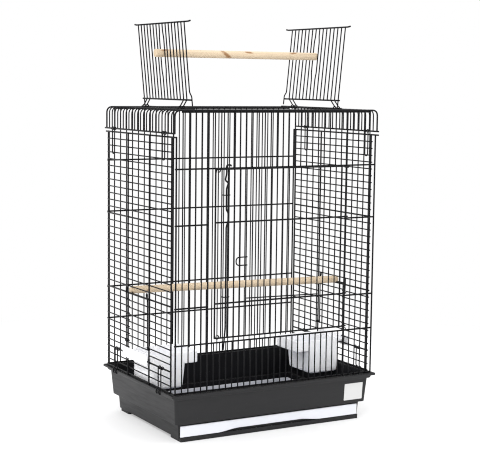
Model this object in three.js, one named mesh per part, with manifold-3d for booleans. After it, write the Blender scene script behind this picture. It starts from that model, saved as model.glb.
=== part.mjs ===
// A wire bird cage on a deep base: bars across the front, back and roof, rows up the sides, a hinged
// front door, two lifting feeder doors with cups, two roof flaps and a perch between them.
// Millimetres, +Z up, the front towards -Y, the origin on the ground under the middle of the cabin.
import * as THREE from 'three';
import { mergeVertices } from 'three/addons/utils/BufferGeometryUtils.js';
import Module from 'manifold-3d';

const wasm = await Module();
wasm.setup();

// Driving sizes
const wirePitch = 13.35; // from bar to bar
const frontBays = 33; // gaps between bars across the front
const roofBays = 23; // gaps between bars from the front to the back of the roof
const flapBays = 15; // gaps between bars across a roof flap
const sideBays = 35; // gaps between rows up a side
const cabinHeight = 480; // side panels above the rim of the base
const roofLift = 49; // roof bars above the side panels
const skirtLift = 7; // lowest wire of the roof above the side panels
const baseHeight = 95;
const thinRadius = 1.2;
const stoutRadius = 1.6;

// Clearances
const weldDepth = 0.5; // how deep two welded wires sink into each other
const touchGap = 0.1; // between wires of one panel that only lie against each other
const looseGap = 0.3; // between pieces that rest on each other
const runningGap = 0.4; // round a wire that something turns on
const wireEnd = 1.5; // how far a wire runs past the last one that it crosses
const overrun = 1; // how far a cut runs past the wall that it opens

// Front and back panels
const cornerBays = 5; // bays on each side of the front door
const backStiffeners = 2; // stout bars between the corners of the back
const levelShares = { sill: 0.192, low: 0.338, high: 0.6605, lintel: 0.878 }; // of the cabin's height
const backSillLift = 4.7; // sill wire of the back above that of the front
const doorwaySides = [cornerBays, frontBays - cornerBays];

// Front door, its bolt, pull and stay
const doorLift = 10.3; // lowest wire of the door above the sill wire
const doorDrop = 1; // top wire of the door below the lintel wire
const doorStep = { low: 5.9, high: 4 }; // middle wires of the door above the wires of the panel
const doorHingeRun = 8; // where a cross wire of the door bends towards its hinge eye
const boltBay = 7.5; // counted in bays from the left corner
const boltFoot = 12.6; // bolt below the sill wire
const boltHead = 6.9; // bolt above the lintel wire
const fingerReach = 9; // hooked end of the bolt
const fingerCorner = 3;
const kinkReach = 4; // bolt swings out of line by this much
const kinkShares = [ // of the bolt's length, and of kinkReach
  [0, -1], [0.12, 0], [0.667, 0], [0.7, 1], [0.745, 1], [0.76, 0],
  [0.874, 0], [0.904, 1], [0.919, -0.75], [0.953, 0],
];
const stapleShares = [0.29, 0.84]; // of the bolt's length
const stapleCorner = 2;
const pullBay = 11; // bar that the pull is hooked on, counted in bays from the left corner
const pullReach = 23;
const pullHeight = 15.5;
const pullHeightShare = 0.496; // lower side of the pull, of the cabin's height
const pullCorner = 5;
const stayBays = [11, 23];
const stayLift = 0.4; // right end of the stay above the door's wire
const stayRise = 3; // left end of the stay above its right end

// Side panels, feeder openings and feeder doors
const frontStileInset = 16;
const backStileInset = 6;
const rowPokeFront = 6;
const rowPokeBack = 3;
const feederShift = 5; // feeder openings lie off the middle of their sides, each its own way
const cupShift = -5; // and the cups lie off it the other way
const railReach = 48.5; // from the middle of an opening to its rail
const feederHeight = 98; // from the lowest bar of a feeder door to its top bar
const feederBarPitch = 14;
const feederBottom = 69; // lowest bar of a feeder door above the rim
const feederRodInset = 4.5; // from a rail to the rod of the door beside it
const feederTurn = 2;

// Roof panel, flaps and top perch
const bendRadius = 12;
const openingBays = [4, 19]; // first and last roof bar that the opening cuts, in bays from the front
const openingHalf = 164;
const skirtPoke = 3;
const flapLength = 161;
const flapFoot = 16; // lower cross wire of a flap above its hinge
const flapPoke = 21; // top wire of a flap past its outer bars
const flapLeanDegrees = 5.5;
const legBays = [1, 2, 13, 14]; // bars that run down to a hinge eye, counted in bays from the end
const legSlantShare = 1.25; // of the wire pitch
const jogLevels = [22, 30];
const jogDepth = 7.5;
const jogFoot = 4;
const perchGateShares = [0.365, 0.44, 0.83, 0.905]; // of the flap's length
const topPerchRadius = 7.65;
const topPerchHeight = 106; // perch above the roof bars
const topPerchPoke = { left: 26.5, right: 12 }; // past the hinges of the flaps

// Lower perch
const lowPerchRadius = 7.5;
const lowPerchShift = { left: 34, right: -18 };
const tenonReach = 6.5;
const perchSides = 20;

// Hooks that hold the roof, and clips that hold the base
const roofHookWide = 10;
const roofHookDrop = 50;
const hookBays = [3, 20]; // roof bars that the hooks straddle, counted in bays from the front
const baseClipWide = 11.5;
const clipPlaceShares = [0.174, 0.826];
const clipHeight = 43; // row that a clip turns on, above the rim
const clipTurn = 2; // a clip's leg turns outwards this far above the rim
const clipLip = 4;
const clipDrop = 2.5; // lip of a clip below the rim

// Cups
const cupWall = 2;
const cupInset = 6.5; // cup inside the cabin's side
const cupReach = 78;
const cupLipReach = 25;
const cupHalf = 43;
const cupTop = 53; // above the rim
const cupHang = 10; // row that a cup hangs on, below its top
const cupDepth = 70;
const cupLean = 8; // inner side of the bowl leans out by this much towards its floor
const cupBevel = 5;
const cupLipBevel = 1.5;
const cupLipDepth = 22;
const cupCorner = 8;
const cupPlateHalf = 55;
const cupPlateHeight = 20;
const cupPlateThick = 2.2;
const cupPlateTop = 57;
const cupBridge = 3;

// Base and tray
const rimReach = 9;
const rimThick = 4;
const collarReach = { top: 4, bottom: 2 };
const collarDrop = 10;
const tubInset = { top: 2, bottom: 6, plinthTop: 15, plinthBottom: 17 };
const tubExtraDepth = 1; // front and back faces of the tub are set in by this much more
const plinthTop = 34.5;
const plinthStep = 1;
const tubWall = 3;
const tubFloor = 2.5;
const tubFloorLift = 9.5; // floor of the plinth above its lower edge
const footHeight = 6;
const footWide = 30;
const footLong = 40;
const footInset = 2;
const ledgeGap = 0.9; // ledge from foot to foot, below the tray's strip
const ledgeInset = 0.7; // front of the ledge behind the strip's front
const ledgeBack = 3; // back of the ledge behind the front of the feet
const tubCorner = { rim: 4, tub: 6, plinth: 4, cavity: 3 };
const trayHalf = 198;
const trayWall = 2;
const trayGap = 0.4;
const trayHeight = 13.5;
const trayBackInset = 23;
const stripOverlap = 5.5; // front strip past the tray's sides
const stripThick = 2.7;
const stripHeight = 21.2;
const stripDrop = 6.7; // front strip below the tray's floor
const archOffset = -6;
const archHalf = 116;
const archFlatHalf = 69;
const archRise = 4.4;
const labelWide = 43.5;
const labelHigh = 34.5;
const labelThick = 0.6;
const labelRight = 15; // label in from the cabin's right side
const labelBottom = 42;

// Sizes worked out from these
const cabinWidth = frontBays * wirePitch;
const cabinDepth = roofBays * wirePitch;
const right = cabinWidth / 2;
const back = cabinDepth / 2;
const front = -back;
const rimTop = baseHeight;
const cabinTop = rimTop + cabinHeight;
const roofZ = cabinTop + roofLift;
const skirtZ = cabinTop + skirtLift;
const weldOffset = thinRadius + stoutRadius - weldDepth;
const thinWeldOffset = 2 * thinRadius - weldDepth;
const touchOffset = thinRadius + stoutRadius + touchGap;
const panelPlane = right + 2 * stoutRadius + looseGap;
const floorWire = rimTop + looseGap + stoutRadius;
const headWire = roofZ - thinRadius - looseGap - stoutRadius;
const stripBack = front + tubInset.plinthTop - looseGap;
const stripFront = stripBack - stripThick;
const trayZ = footHeight + tubFloorLift + looseGap + trayGap;
const stripLow = trayZ - stripDrop;
const barTop = roofZ - thinRadius - runningGap;
const rowPitch = (cabinTop - floorWire) / sideBays;
const barX = (index) => (index - frontBays / 2) * wirePitch;
const barY = (index) => (index - roofBays / 2) * wirePitch;
const rowZ = (row) => cabinTop - row * rowPitch;
const rowNear = (z) => Math.round((cabinTop - z) / rowPitch);
const level = (name) => rimTop + levelShares[name] * cabinHeight;
const feederLow = rimTop + feederBottom;
const lintelRow = rowNear(feederLow + feederHeight); // over a feeder opening
const lipRow = rowNear(rimTop + cupTop - cupHang);
const clipRow = rowNear(rimTop + clipHeight);
const stoutRows = [0, rowNear(level('high')), lintelRow, lipRow, sideBays];
const hingeZ = roofZ + weldOffset;
const feederMiddle = (side) => side * feederShift;
const cupMiddle = (side) => side * cupShift;

// A path that runs straight from corner to corner, with one tube step for each stretch
class WirePath extends THREE.Curve {
  constructor(corners) {
    super();
    this.corners = corners;
  }
  getPoint(share) {
    const place = share * (this.corners.length - 1);
    const index = Math.min(Math.floor(place), this.corners.length - 2);
    return this.corners[index].clone().lerp(this.corners[index + 1], place - index);
  }
  getPointAt(share) {
    return this.getPoint(share);
  }
  getTangentAt(share) {
    const last = this.corners.length - 1;
    const index = Math.round(share * last);
    const tangent = new THREE.Vector3();
    if (index > 0) {
      tangent.add(this.corners[index].clone().sub(this.corners[index - 1]).normalize());
    }
    if (index < last) {
      tangent.add(this.corners[index + 1].clone().sub(this.corners[index]).normalize());
    }
    return tangent.normalize();
  }
}

// A closed geometry as a solid that can be joined and cut
function solid(geometry) {
  geometry.deleteAttribute('normal');
  geometry.deleteAttribute('uv');
  const merged = mergeVertices(geometry);
  return new wasm.Manifold(new wasm.Mesh({
    numProp: 3,
    vertProperties: new Float32Array(merged.attributes.position.array),
    triVerts: new Uint32Array(merged.index.array),
  }));
}

function join(solids) {
  return wasm.Manifold.union(solids);
}

// A wire with a square section, whose ridges face its neighbours, along the corners given
function wire(radius, ...corners) {
  const section = new THREE.Shape([
    new THREE.Vector2(radius, 0),
    new THREE.Vector2(0, radius),
    new THREE.Vector2(-radius, 0),
    new THREE.Vector2(0, -radius),
  ]);
  const path = new WirePath(corners.map((corner) => new THREE.Vector3(...corner)));
  return solid(new THREE.ExtrudeGeometry(section, {
    steps: corners.length - 1,
    bevelEnabled: false,
    extrudePath: path,
  }));
}

// The radius of a ring that turns freely on a wire, and the ring itself
const ringSides = 6;
const eyeRadius = (wireRadius) => (wireRadius + runningGap) / Math.cos(Math.PI / ringSides) + thinRadius;

function eye(wireRadius, axis, place) {
  const geometry = new THREE.TorusGeometry(eyeRadius(wireRadius), thinRadius, 4, ringSides);
  if (axis === 'y') {
    geometry.rotateX(Math.PI / 2);
  }
  geometry.translate(...place);
  return solid(geometry);
}

function slab(x0, x1, y0, y1, z0, z1) {
  const geometry = new THREE.BoxGeometry(Math.abs(x1 - x0), Math.abs(y1 - y0), Math.abs(z1 - z0));
  geometry.translate((x0 + x1) / 2, (y0 + y1) / 2, (z0 + z1) / 2);
  return solid(geometry);
}

// The corners of a rectangle with rounded corners, anticlockwise seen from above
function roundedOutline(halfX, halfY, radius, steps) {
  const points = [];
  for (let corner = 0; corner < 4; corner++) {
    const signX = corner === 0 || corner === 3 ? 1 : -1;
    const signY = corner < 2 ? 1 : -1;
    for (let step = 0; step <= steps; step++) {
      const angle = (corner + step / steps) * Math.PI / 2;
      points.push(new THREE.Vector2(
        signX * (halfX - radius) + radius * Math.cos(angle),
        signY * (halfY - radius) + radius * Math.sin(angle),
      ));
    }
  }
  return points;
}

// A closed skin over rings of the same count of points, from one capped ring to the other
function loft(rings) {
  const count = rings[0].length;
  const positions = rings.flat().flatMap((point) => [point.x, point.y, point.z]);
  const faces = [];
  for (let ring = 0; ring < rings.length - 1; ring++) {
    for (let point = 0; point < count; point++) {
      const next = (point + 1) % count;
      const [a, b] = [ring * count + point, ring * count + next];
      const [c, d] = [b + count, a + count];
      faces.push(a, b, c, a, c, d);
    }
  }
  const [low, high] = [positions.length / 3, positions.length / 3 + 1];
  positions.push(0, 0, rings[0][0].z, 0, 0, rings[rings.length - 1][0].z);
  for (let point = 0; point < count; point++) {
    const next = (point + 1) % count;
    const lastRing = (rings.length - 1) * count;
    faces.push(low, next, point, high, lastRing + point, lastRing + next);
  }
  const geometry = new THREE.BufferGeometry();
  geometry.setAttribute('position', new THREE.Float32BufferAttribute(positions, 3));
  geometry.setIndex(faces);
  return solid(geometry);
}

// Finishes
const enamel = () => new THREE.MeshStandardMaterial({ color: 0x0c0c0e, roughness: 0.35, metalness: 0.2 });
const blackPlastic = () => new THREE.MeshStandardMaterial({ color: 0x121214, roughness: 0.3, metalness: 0 });
const whitePlastic = () => new THREE.MeshStandardMaterial({ color: 0xf2f2f2, roughness: 0.4, metalness: 0 });
const paleWood = () => new THREE.MeshStandardMaterial({ color: 0xd9b27c, roughness: 0.7, metalness: 0 });
const labelFilm = () => new THREE.MeshStandardMaterial({ color: 0xf6f6f4, roughness: 0.5, metalness: 0 });

function meshOf(name, body, material) {
  const data = body.getMesh();
  const geometry = new THREE.BufferGeometry();
  geometry.setAttribute('position', new THREE.Float32BufferAttribute(data.vertProperties, 3));
  geometry.setIndex(new THREE.Uint32BufferAttribute(data.triVerts, 1));
  geometry.computeVertexNormals();
  const mesh = new THREE.Mesh(geometry, material);
  mesh.name = name;
  return mesh;
}

// Cross wires of a front or back panel at one height, from bar to bar
function crossWire(y, z, from, to) {
  return wire(stoutRadius, [barX(from) - wireEnd, y, z], [barX(to) + wireEnd, y, z]);
}

function frontPanel() {
  const [doorLeft, doorRight] = doorwaySides;
  const parts = [
    crossWire(front + weldOffset, floorWire, 0, frontBays),
    crossWire(front + weldOffset, headWire, 1, frontBays - 1),
    crossWire(front + touchOffset, level('sill'), 0, frontBays),
    crossWire(front + touchOffset, level('lintel'), 0, frontBays),
  ];
  for (const name of ['low', 'high']) {
    parts.push(crossWire(front + touchOffset, level(name), 0, doorLeft));
    parts.push(crossWire(front + touchOffset, level(name), doorRight, frontBays));
  }
  for (let index = 0; index <= frontBays; index++) {
    const atCorner = index === 0 || index === frontBays;
    const radius = atCorner || doorwaySides.includes(index) ? stoutRadius : thinRadius;
    const top = atCorner ? cabinTop + wireEnd : barTop;
    const cuts = index > doorLeft && index < doorRight
      ? [floorWire - wireEnd, level('sill') + wireEnd, level('lintel') - wireEnd, top]
      : [floorWire - wireEnd, top];
    for (let cut = 0; cut < cuts.length; cut += 2) {
      parts.push(wire(radius, [barX(index), front, cuts[cut]], [barX(index), front, cuts[cut + 1]]));
    }
  }
  return join(parts);
}

function backPanel() {
  const parts = [
    crossWire(back + weldOffset, floorWire, 0, frontBays),
    crossWire(back + weldOffset, headWire, 1, frontBays - 1),
  ];
  for (const name of Object.keys(levelShares)) {
    const lift = name === 'sill' ? backSillLift : 0;
    parts.push(crossWire(back + touchOffset, level(name) + lift, 0, frontBays));
  }
  const stoutStep = frontBays / (backStiffeners + 1);
  for (let index = 0; index <= frontBays; index++) {
    const atCorner = index === 0 || index === frontBays;
    const radius = index % stoutStep === 0 ? stoutRadius : thinRadius;
    const top = atCorner ? cabinTop + wireEnd : barTop;
    parts.push(wire(radius, [barX(index), back, floorWire - wireEnd], [barX(index), back, top]));
  }
  return join(parts);
}

function sidePanel(side) {
  const middle = feederMiddle(side);
  const x = side * panelPlane;
  const stile = (radius, place, y) => wire(
    radius, [place, y, floorWire - wireEnd], [place, y, cabinTop + wireEnd],
  );
  const parts = [
    stile(stoutRadius, side * (panelPlane - weldOffset), front + frontStileInset),
    stile(stoutRadius, side * (panelPlane - weldOffset), back - backStileInset),
    stile(stoutRadius, side * (panelPlane + touchOffset), middle - railReach),
    stile(stoutRadius, side * (panelPlane + touchOffset), middle + railReach),
  ];
  for (let row = 0; row <= sideBays; row++) {
    const radius = stoutRows.includes(row) ? stoutRadius : thinRadius;
    const frontEnd = row === 0 ? front - rowPokeFront : front + frontStileInset - wireEnd;
    const backEnd = row === 0 ? back + rowPokeBack : back - backStileInset + wireEnd;
    const ends = row > lintelRow && row < lipRow
      ? [frontEnd, middle - railReach + wireEnd, middle + railReach - wireEnd, backEnd]
      : [frontEnd, backEnd];
    for (let end = 0; end < ends.length; end += 2) {
      parts.push(wire(radius, [x, ends[end], rowZ(row)], [x, ends[end + 1], rowZ(row)]));
    }
  }
  return join(parts);
}

function roofPanel() {
  const parts = [];
  const bend = (side, turn) => [
    side * (panelPlane - bendRadius * (1 - Math.cos(turn))), roofZ - bendRadius * (1 - Math.sin(turn)),
  ];
  const turns = [0, Math.PI / 4, Math.PI / 2];
  for (let index = 0; index <= roofBays; index++) {
    const y = barY(index);
    const half = (side) => [
      [side * panelPlane, y, skirtZ - wireEnd],
      ...turns.map((turn) => bend(side, turn)).map(([x, z]) => [x, y, z]),
    ];
    if (index >= openingBays[0] && index <= openingBays[1]) {
      for (const side of [-1, 1]) {
        parts.push(wire(thinRadius, ...half(side), [side * (openingHalf - wireEnd), y, roofZ]));
      }
    } else {
      parts.push(wire(thinRadius, ...half(-1), ...half(1).reverse()));
    }
  }
  for (const side of [-1, 1]) {
    const skirtX = side * (panelPlane + weldOffset);
    parts.push(wire(stoutRadius, [skirtX, front - skirtPoke, skirtZ], [skirtX, back + skirtPoke, skirtZ]));
    parts.push(wire(
      stoutRadius,
      [side * openingHalf, barY(openingBays[0] - 1) - wireEnd, hingeZ],
      [side * openingHalf, barY(openingBays[1] + 1) + wireEnd, hingeZ],
    ));
  }
  return join(parts);
}

// Places of the front door and its bolt, out from the front bars
const doorPlane = front - stoutRadius - looseGap - thinRadius;
const doorWirePlane = doorPlane - weldOffset;
const boltPlane = doorWirePlane - 2 * stoutRadius - looseGap;
const staplePlane = boltPlane - stoutRadius - looseGap - thinRadius;
const boltX = barX(boltBay);
const boltLow = level('sill') - boltFoot;
const boltHigh = level('lintel') + boltHead;
const boltZ = (share) => boltLow + share * (boltHigh - boltLow);
const doorLevels = [
  level('sill') + doorLift, level('low') + doorStep.low, level('high') + doorStep.high,
  level('lintel') - doorDrop,
];

function mainDoor() {
  const [doorLeft, doorRight] = doorwaySides;
  const hingeX = barX(doorRight);
  const eyeTop = level('lintel') - 2 * stoutRadius - looseGap;
  const parts = [];
  for (const z of doorLevels) {
    const eyeZ = Math.min(z, eyeTop);
    parts.push(wire(
      stoutRadius,
      [barX(doorLeft + 1) - wireEnd, doorWirePlane, z],
      [hingeX - doorHingeRun, doorWirePlane, z],
      [hingeX, front - eyeRadius(stoutRadius) - thinRadius, eyeZ],
    ));
    parts.push(eye(stoutRadius, 'z', [hingeX, front, eyeZ]));
  }
  for (let index = doorLeft + 1; index < doorRight; index++) {
    const atEdge = index === doorLeft + 1 || index === doorRight - 1;
    const radius = atEdge ? stoutRadius : thinRadius;
    parts.push(wire(
      radius,
      [barX(index), doorPlane, doorLevels[0] - wireEnd],
      [barX(index), doorPlane, doorLevels[doorLevels.length - 1] + wireEnd],
    ));
  }
  for (const share of stapleShares) {
    const [x0, x1] = [barX(Math.floor(boltBay)), barX(Math.ceil(boltBay))];
    const z = boltZ(share);
    parts.push(wire(
      thinRadius,
      [x0, doorPlane - weldDepth, z],
      [x0, staplePlane + stapleCorner, z],
      [x0 + stapleCorner, staplePlane, z],
      [x1 - stapleCorner, staplePlane, z],
      [x1, staplePlane + stapleCorner, z],
      [x1, doorPlane - weldDepth, z],
    ));
  }
  return join(parts);
}

function doorBolt() {
  const farX = boltX + fingerReach;
  return wire(
    stoutRadius,
    ...kinkShares.map(([along, aside]) => [boltX + aside * kinkReach, boltPlane, boltZ(along)]),
    [boltX, boltPlane, boltHigh - fingerCorner],
    [boltX + fingerCorner, boltPlane, boltHigh],
    [farX - fingerCorner, boltPlane, boltHigh],
    [farX, boltPlane, boltHigh - fingerCorner],
  );
}

// Wire pieces that lie on the face of the door's bars
const facePlane = doorPlane - 2 * thinRadius - looseGap;

function doorPull() {
  const hookX = barX(pullBay);
  const low = rimTop + pullHeightShare * cabinHeight;
  const [high, far] = [low + pullHeight, hookX - pullReach];
  return wire(
    thinRadius,
    [hookX + wireEnd, facePlane, high],
    [far + pullCorner, facePlane, high],
    [far, facePlane, high - pullCorner],
    [far, facePlane, low + pullCorner],
    [far + pullCorner, facePlane, low],
    [hookX + wireEnd, facePlane, low],
  );
}

function doorStay() {
  const z = doorLevels[1] + stoutRadius + thinRadius + looseGap + stayLift;
  return wire(
    thinRadius,
    [barX(stayBays[0]), facePlane, z + stayRise],
    [barX(stayBays[1]), facePlane, z],
  );
}

// Feeder doors ride on the rails at the sides of their openings
const railPlane = panelPlane + touchOffset;
const feederPlane = railPlane + stoutRadius + looseGap + thinRadius;

function feederDoor(side) {
  const middle = feederMiddle(side);
  const top = feederLow + feederHeight;
  const feederBays = Math.round(feederHeight / feederBarPitch);
  const x = side * feederPlane;
  const rodReach = railReach - feederRodInset;
  const clawReach = railReach + stoutRadius + runningGap + thinRadius;
  const clawX = side * (panelPlane + stoutRadius + runningGap);
  const parts = [-1, 1].map((end) => wire(
    thinRadius,
    [side * (feederPlane - thinWeldOffset), middle + end * rodReach, feederLow - wireEnd],
    [side * (feederPlane - thinWeldOffset), middle + end * rodReach, top + wireEnd],
  ));
  for (let bar = 0; bar <= feederBays; bar++) {
    const z = feederLow + bar * feederHeight / feederBays;
    if (bar === 0 || bar === feederBays) {
      const claw = (end) => [
        [clawX, middle + end * clawReach, z],
        [x - side * feederTurn, middle + end * clawReach, z],
        [x, middle + end * (clawReach - feederTurn), z],
      ];
      parts.push(wire(thinRadius, ...claw(-1), ...claw(1).reverse()));
    } else {
      parts.push(wire(
        thinRadius,
        [x, middle - rodReach - wireEnd, z],
        [x, middle + rodReach + wireEnd, z],
      ));
    }
  }
  return join(parts);
}

// The outer or inner skin of a cup's bowl or lip: its inner side leans, and it is bevelled round its floor
function cupSkin(side, [inner, outer], [y0, y1], [z0, z1], corner, leanDepth, bevel) {
  const ring = (inset, z) => {
    const lean = leanDepth * (z1 - z) / (z1 - z0);
    const [halfX, halfY] = [(outer - inner - lean) / 2 - inset, (y1 - y0) / 2 - inset];
    return roundedOutline(halfX, halfY, corner, 3)
      .map((point) => new THREE.Vector3(point.x + side * lean / 2, point.y, z));
  };
  return loft([ring(bevel, z0), ring(0, z0 + bevel), ring(0, z1)])
    .translate([side * (inner + outer) / 2, (y0 + y1) / 2, 0]);
}

// A cup hangs on its row by a bridge and an outer plate, with a deep bowl and a shallow lip inside
function cup(side) {
  const middle = cupMiddle(side);
  const outer = right - cupInset;
  const inner = outer - cupReach;
  const lip = inner - cupLipReach;
  const lipEnd = inner + 2 * cupCorner;
  const top = rimTop + cupTop;
  const [y0, y1] = [middle - cupHalf, middle + cupHalf];
  const plateTop = rimTop + cupPlateTop;
  const plateX = railPlane + stoutRadius + looseGap;
  const bridgeLow = rowZ(lipRow) + stoutRadius + looseGap;
  const bodies = join([
    cupSkin(side, [inner, outer], [y0, y1], [top - cupDepth, top], cupCorner, cupLean, cupBevel),
    cupSkin(side, [lip, lipEnd], [y0, y1], [top - cupLipDepth, top], cupCorner, 0, cupLipBevel),
    slab(side * (outer - cupWall), side * (plateX + cupPlateThick / 2), y0 + cupCorner, y1 - cupCorner,
      bridgeLow, bridgeLow + cupBridge),
    slab(side * plateX, side * (plateX + cupPlateThick), middle - cupPlateHalf, middle + cupPlateHalf,
      plateTop - cupPlateHeight, plateTop),
  ]);
  const [hollowY, corner] = [[y0 + cupWall, y1 - cupWall], cupCorner - cupWall];
  const cuts = join([
    cupSkin(side, [inner + cupWall, outer - cupWall], hollowY, [top - cupDepth + cupWall, top + overrun],
      corner, cupLean, cupBevel),
    cupSkin(side, [lip + cupWall, lipEnd], hollowY, [top - cupLipDepth + cupWall, top + overrun],
      corner, 0, cupLipBevel),
  ]);
  return bodies.subtract(cuts);
}

// A roof flap standing on its hinge at the origin, with its outer face towards -X
function roofFlap() {
  const barPlace = (index) => (index - flapBays / 2) * wirePitch;
  const topEnd = flapLength + wireEnd;
  const gate = topPerchRadius + looseGap + thinRadius;
  const ring = eyeRadius(stoutRadius);
  const middleBars = [Math.floor(flapBays / 2), Math.ceil(flapBays / 2)];
  const parts = [];
  for (let index = 0; index <= flapBays; index++) {
    const y = barPlace(index);
    if (legBays.includes(index)) {
      const foot = y + legSlantShare * wirePitch;
      parts.push(wire(thinRadius, [0, y, topEnd], [0, y, flapFoot], [0, foot, ring]));
      parts.push(eye(stoutRadius, 'y', [0, foot, 0]));
    } else if (middleBars.includes(index)) {
      const levels = perchGateShares.map((share) => share * flapLength);
      const wide = Math.sign(y) * gate;
      parts.push(wire(
        thinRadius,
        [0, y, flapFoot - wireEnd], [0, y, levels[0]], [0, wide, levels[1]],
        [0, wide, levels[2]], [0, y, levels[3]], [0, y, topEnd],
      ));
    } else if (index === 0) {
      const outward = y - jogDepth;
      parts.push(wire(
        thinRadius, [0, outward, jogFoot], [0, outward, jogLevels[0]], [0, y, jogLevels[1]], [0, y, topEnd],
      ));
    } else if (index === flapBays) {
      parts.push(wire(thinRadius, [0, y, stoutRadius + 2 * looseGap], [0, y, topEnd]));
    } else {
      parts.push(wire(thinRadius, [0, y, flapFoot - wireEnd], [0, y, topEnd]));
    }
  }
  const footReach = barPlace(flapBays) + wireEnd;
  const headReach = barPlace(flapBays) + flapPoke;
  parts.push(wire(
    stoutRadius, [-weldOffset, -footReach - jogDepth, flapFoot], [-weldOffset, footReach, flapFoot],
  ));
  parts.push(wire(stoutRadius, [weldOffset, -headReach, flapLength], [weldOffset, headReach, flapLength]));
  return join(parts);
}

// A turned rod lying between two points, with one radius for each stretch of its length
function turnedRod(start, end, stretches) {
  const outline = [new THREE.Vector2(0, 0)];
  for (const { from, to, radius } of stretches) {
    outline.push(new THREE.Vector2(radius, from), new THREE.Vector2(radius, to));
  }
  const length = stretches[stretches.length - 1].to;
  outline.push(new THREE.Vector2(0, length));
  const geometry = new THREE.LatheGeometry(outline, perchSides);
  const run = end.clone().sub(start).normalize();
  geometry.applyQuaternion(new THREE.Quaternion().setFromUnitVectors(new THREE.Vector3(0, 1, 0), run));
  geometry.translate(start.x, start.y, start.z);
  return solid(geometry);
}

function topPerch() {
  const z = roofZ + topPerchHeight;
  const start = new THREE.Vector3(-(openingHalf + topPerchPoke.left), 0, z);
  const end = new THREE.Vector3(openingHalf + topPerchPoke.right, 0, z);
  const length = start.distanceTo(end);
  return turnedRod(start, end, [{ from: 0, to: length, radius: topPerchRadius }]);
}

// The ends of the lower perch lie between two rows, over the feeder openings
function lowPerch() {
  const tenonRadius = (rowPitch - stoutRadius - thinRadius) / 2 - looseGap;
  const z = rowZ(lintelRow) + stoutRadius + looseGap + tenonRadius;
  const start = new THREE.Vector3(-(right + tenonReach), lowPerchShift.left, z);
  const end = new THREE.Vector3(right + tenonReach, lowPerchShift.right, z);
  const length = start.distanceTo(end);
  const shoulder = right + tenonReach - (panelPlane - stoutRadius - 2 * looseGap);
  return turnedRod(start, end, [
    { from: 0, to: shoulder, radius: tenonRadius },
    { from: shoulder, to: length - shoulder, radius: lowPerchRadius },
    { from: length - shoulder, to: length, radius: tenonRadius },
  ]);
}

// A roof hook hangs on the lowest wire of the roof
function roofHook(side, y) {
  const axis = panelPlane + weldOffset;
  const x = side * (panelPlane + stoutRadius + looseGap + thinRadius);
  const [y0, y1] = [y - roofHookWide / 2, y + roofHookWide / 2];
  const corner = roofHookWide / 4;
  const [high, low] = [skirtZ - eyeRadius(stoutRadius), skirtZ - roofHookDrop];
  return join([
    eye(stoutRadius, 'y', [side * axis, y0, skirtZ]),
    eye(stoutRadius, 'y', [side * axis, y1, skirtZ]),
    wire(
      thinRadius,
      [x, y0, high], [x, y0, low + corner], [x, y0 + corner, low],
      [x, y1 - corner, low], [x, y1, low + corner], [x, y1, high],
    ),
  ]);
}

// A base clip turns on a row of the side panel and snaps its lip under the rim of the base
function baseClip(side, y) {
  const ring = eyeRadius(stoutRadius);
  const ringX = side * (panelPlane + ring);
  const legX = side * (right + rimReach + looseGap + thinRadius);
  const lipX = legX - side * clipLip;
  const [y0, y1] = [y - baseClipWide / 2, y + baseClipWide / 2];
  const low = rimTop - rimThick - clipDrop;
  const turn = rimTop + looseGap + thinRadius;
  const leg = (place) => [
    [ringX, place, rowZ(clipRow)], [ringX, place, turn + clipTurn], [legX, place, turn],
    [legX, place, low + clipLip / 2],
    [legX - side * clipLip / 2, place, low], [lipX, place, low],
  ];
  const [legFront, legBack] = [leg(y0), leg(y1).reverse()];
  return join([
    eye(stoutRadius, 'y', [side * panelPlane, y0, rowZ(clipRow)]),
    eye(stoutRadius, 'y', [side * panelPlane, y1, rowZ(clipRow)]),
    wire(thinRadius, ...legFront),
    wire(thinRadius, ...legBack),
    wire(thinRadius, [lipX, y0 - thinRadius, low], [lipX, y1 + thinRadius, low]),
  ]);
}

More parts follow.
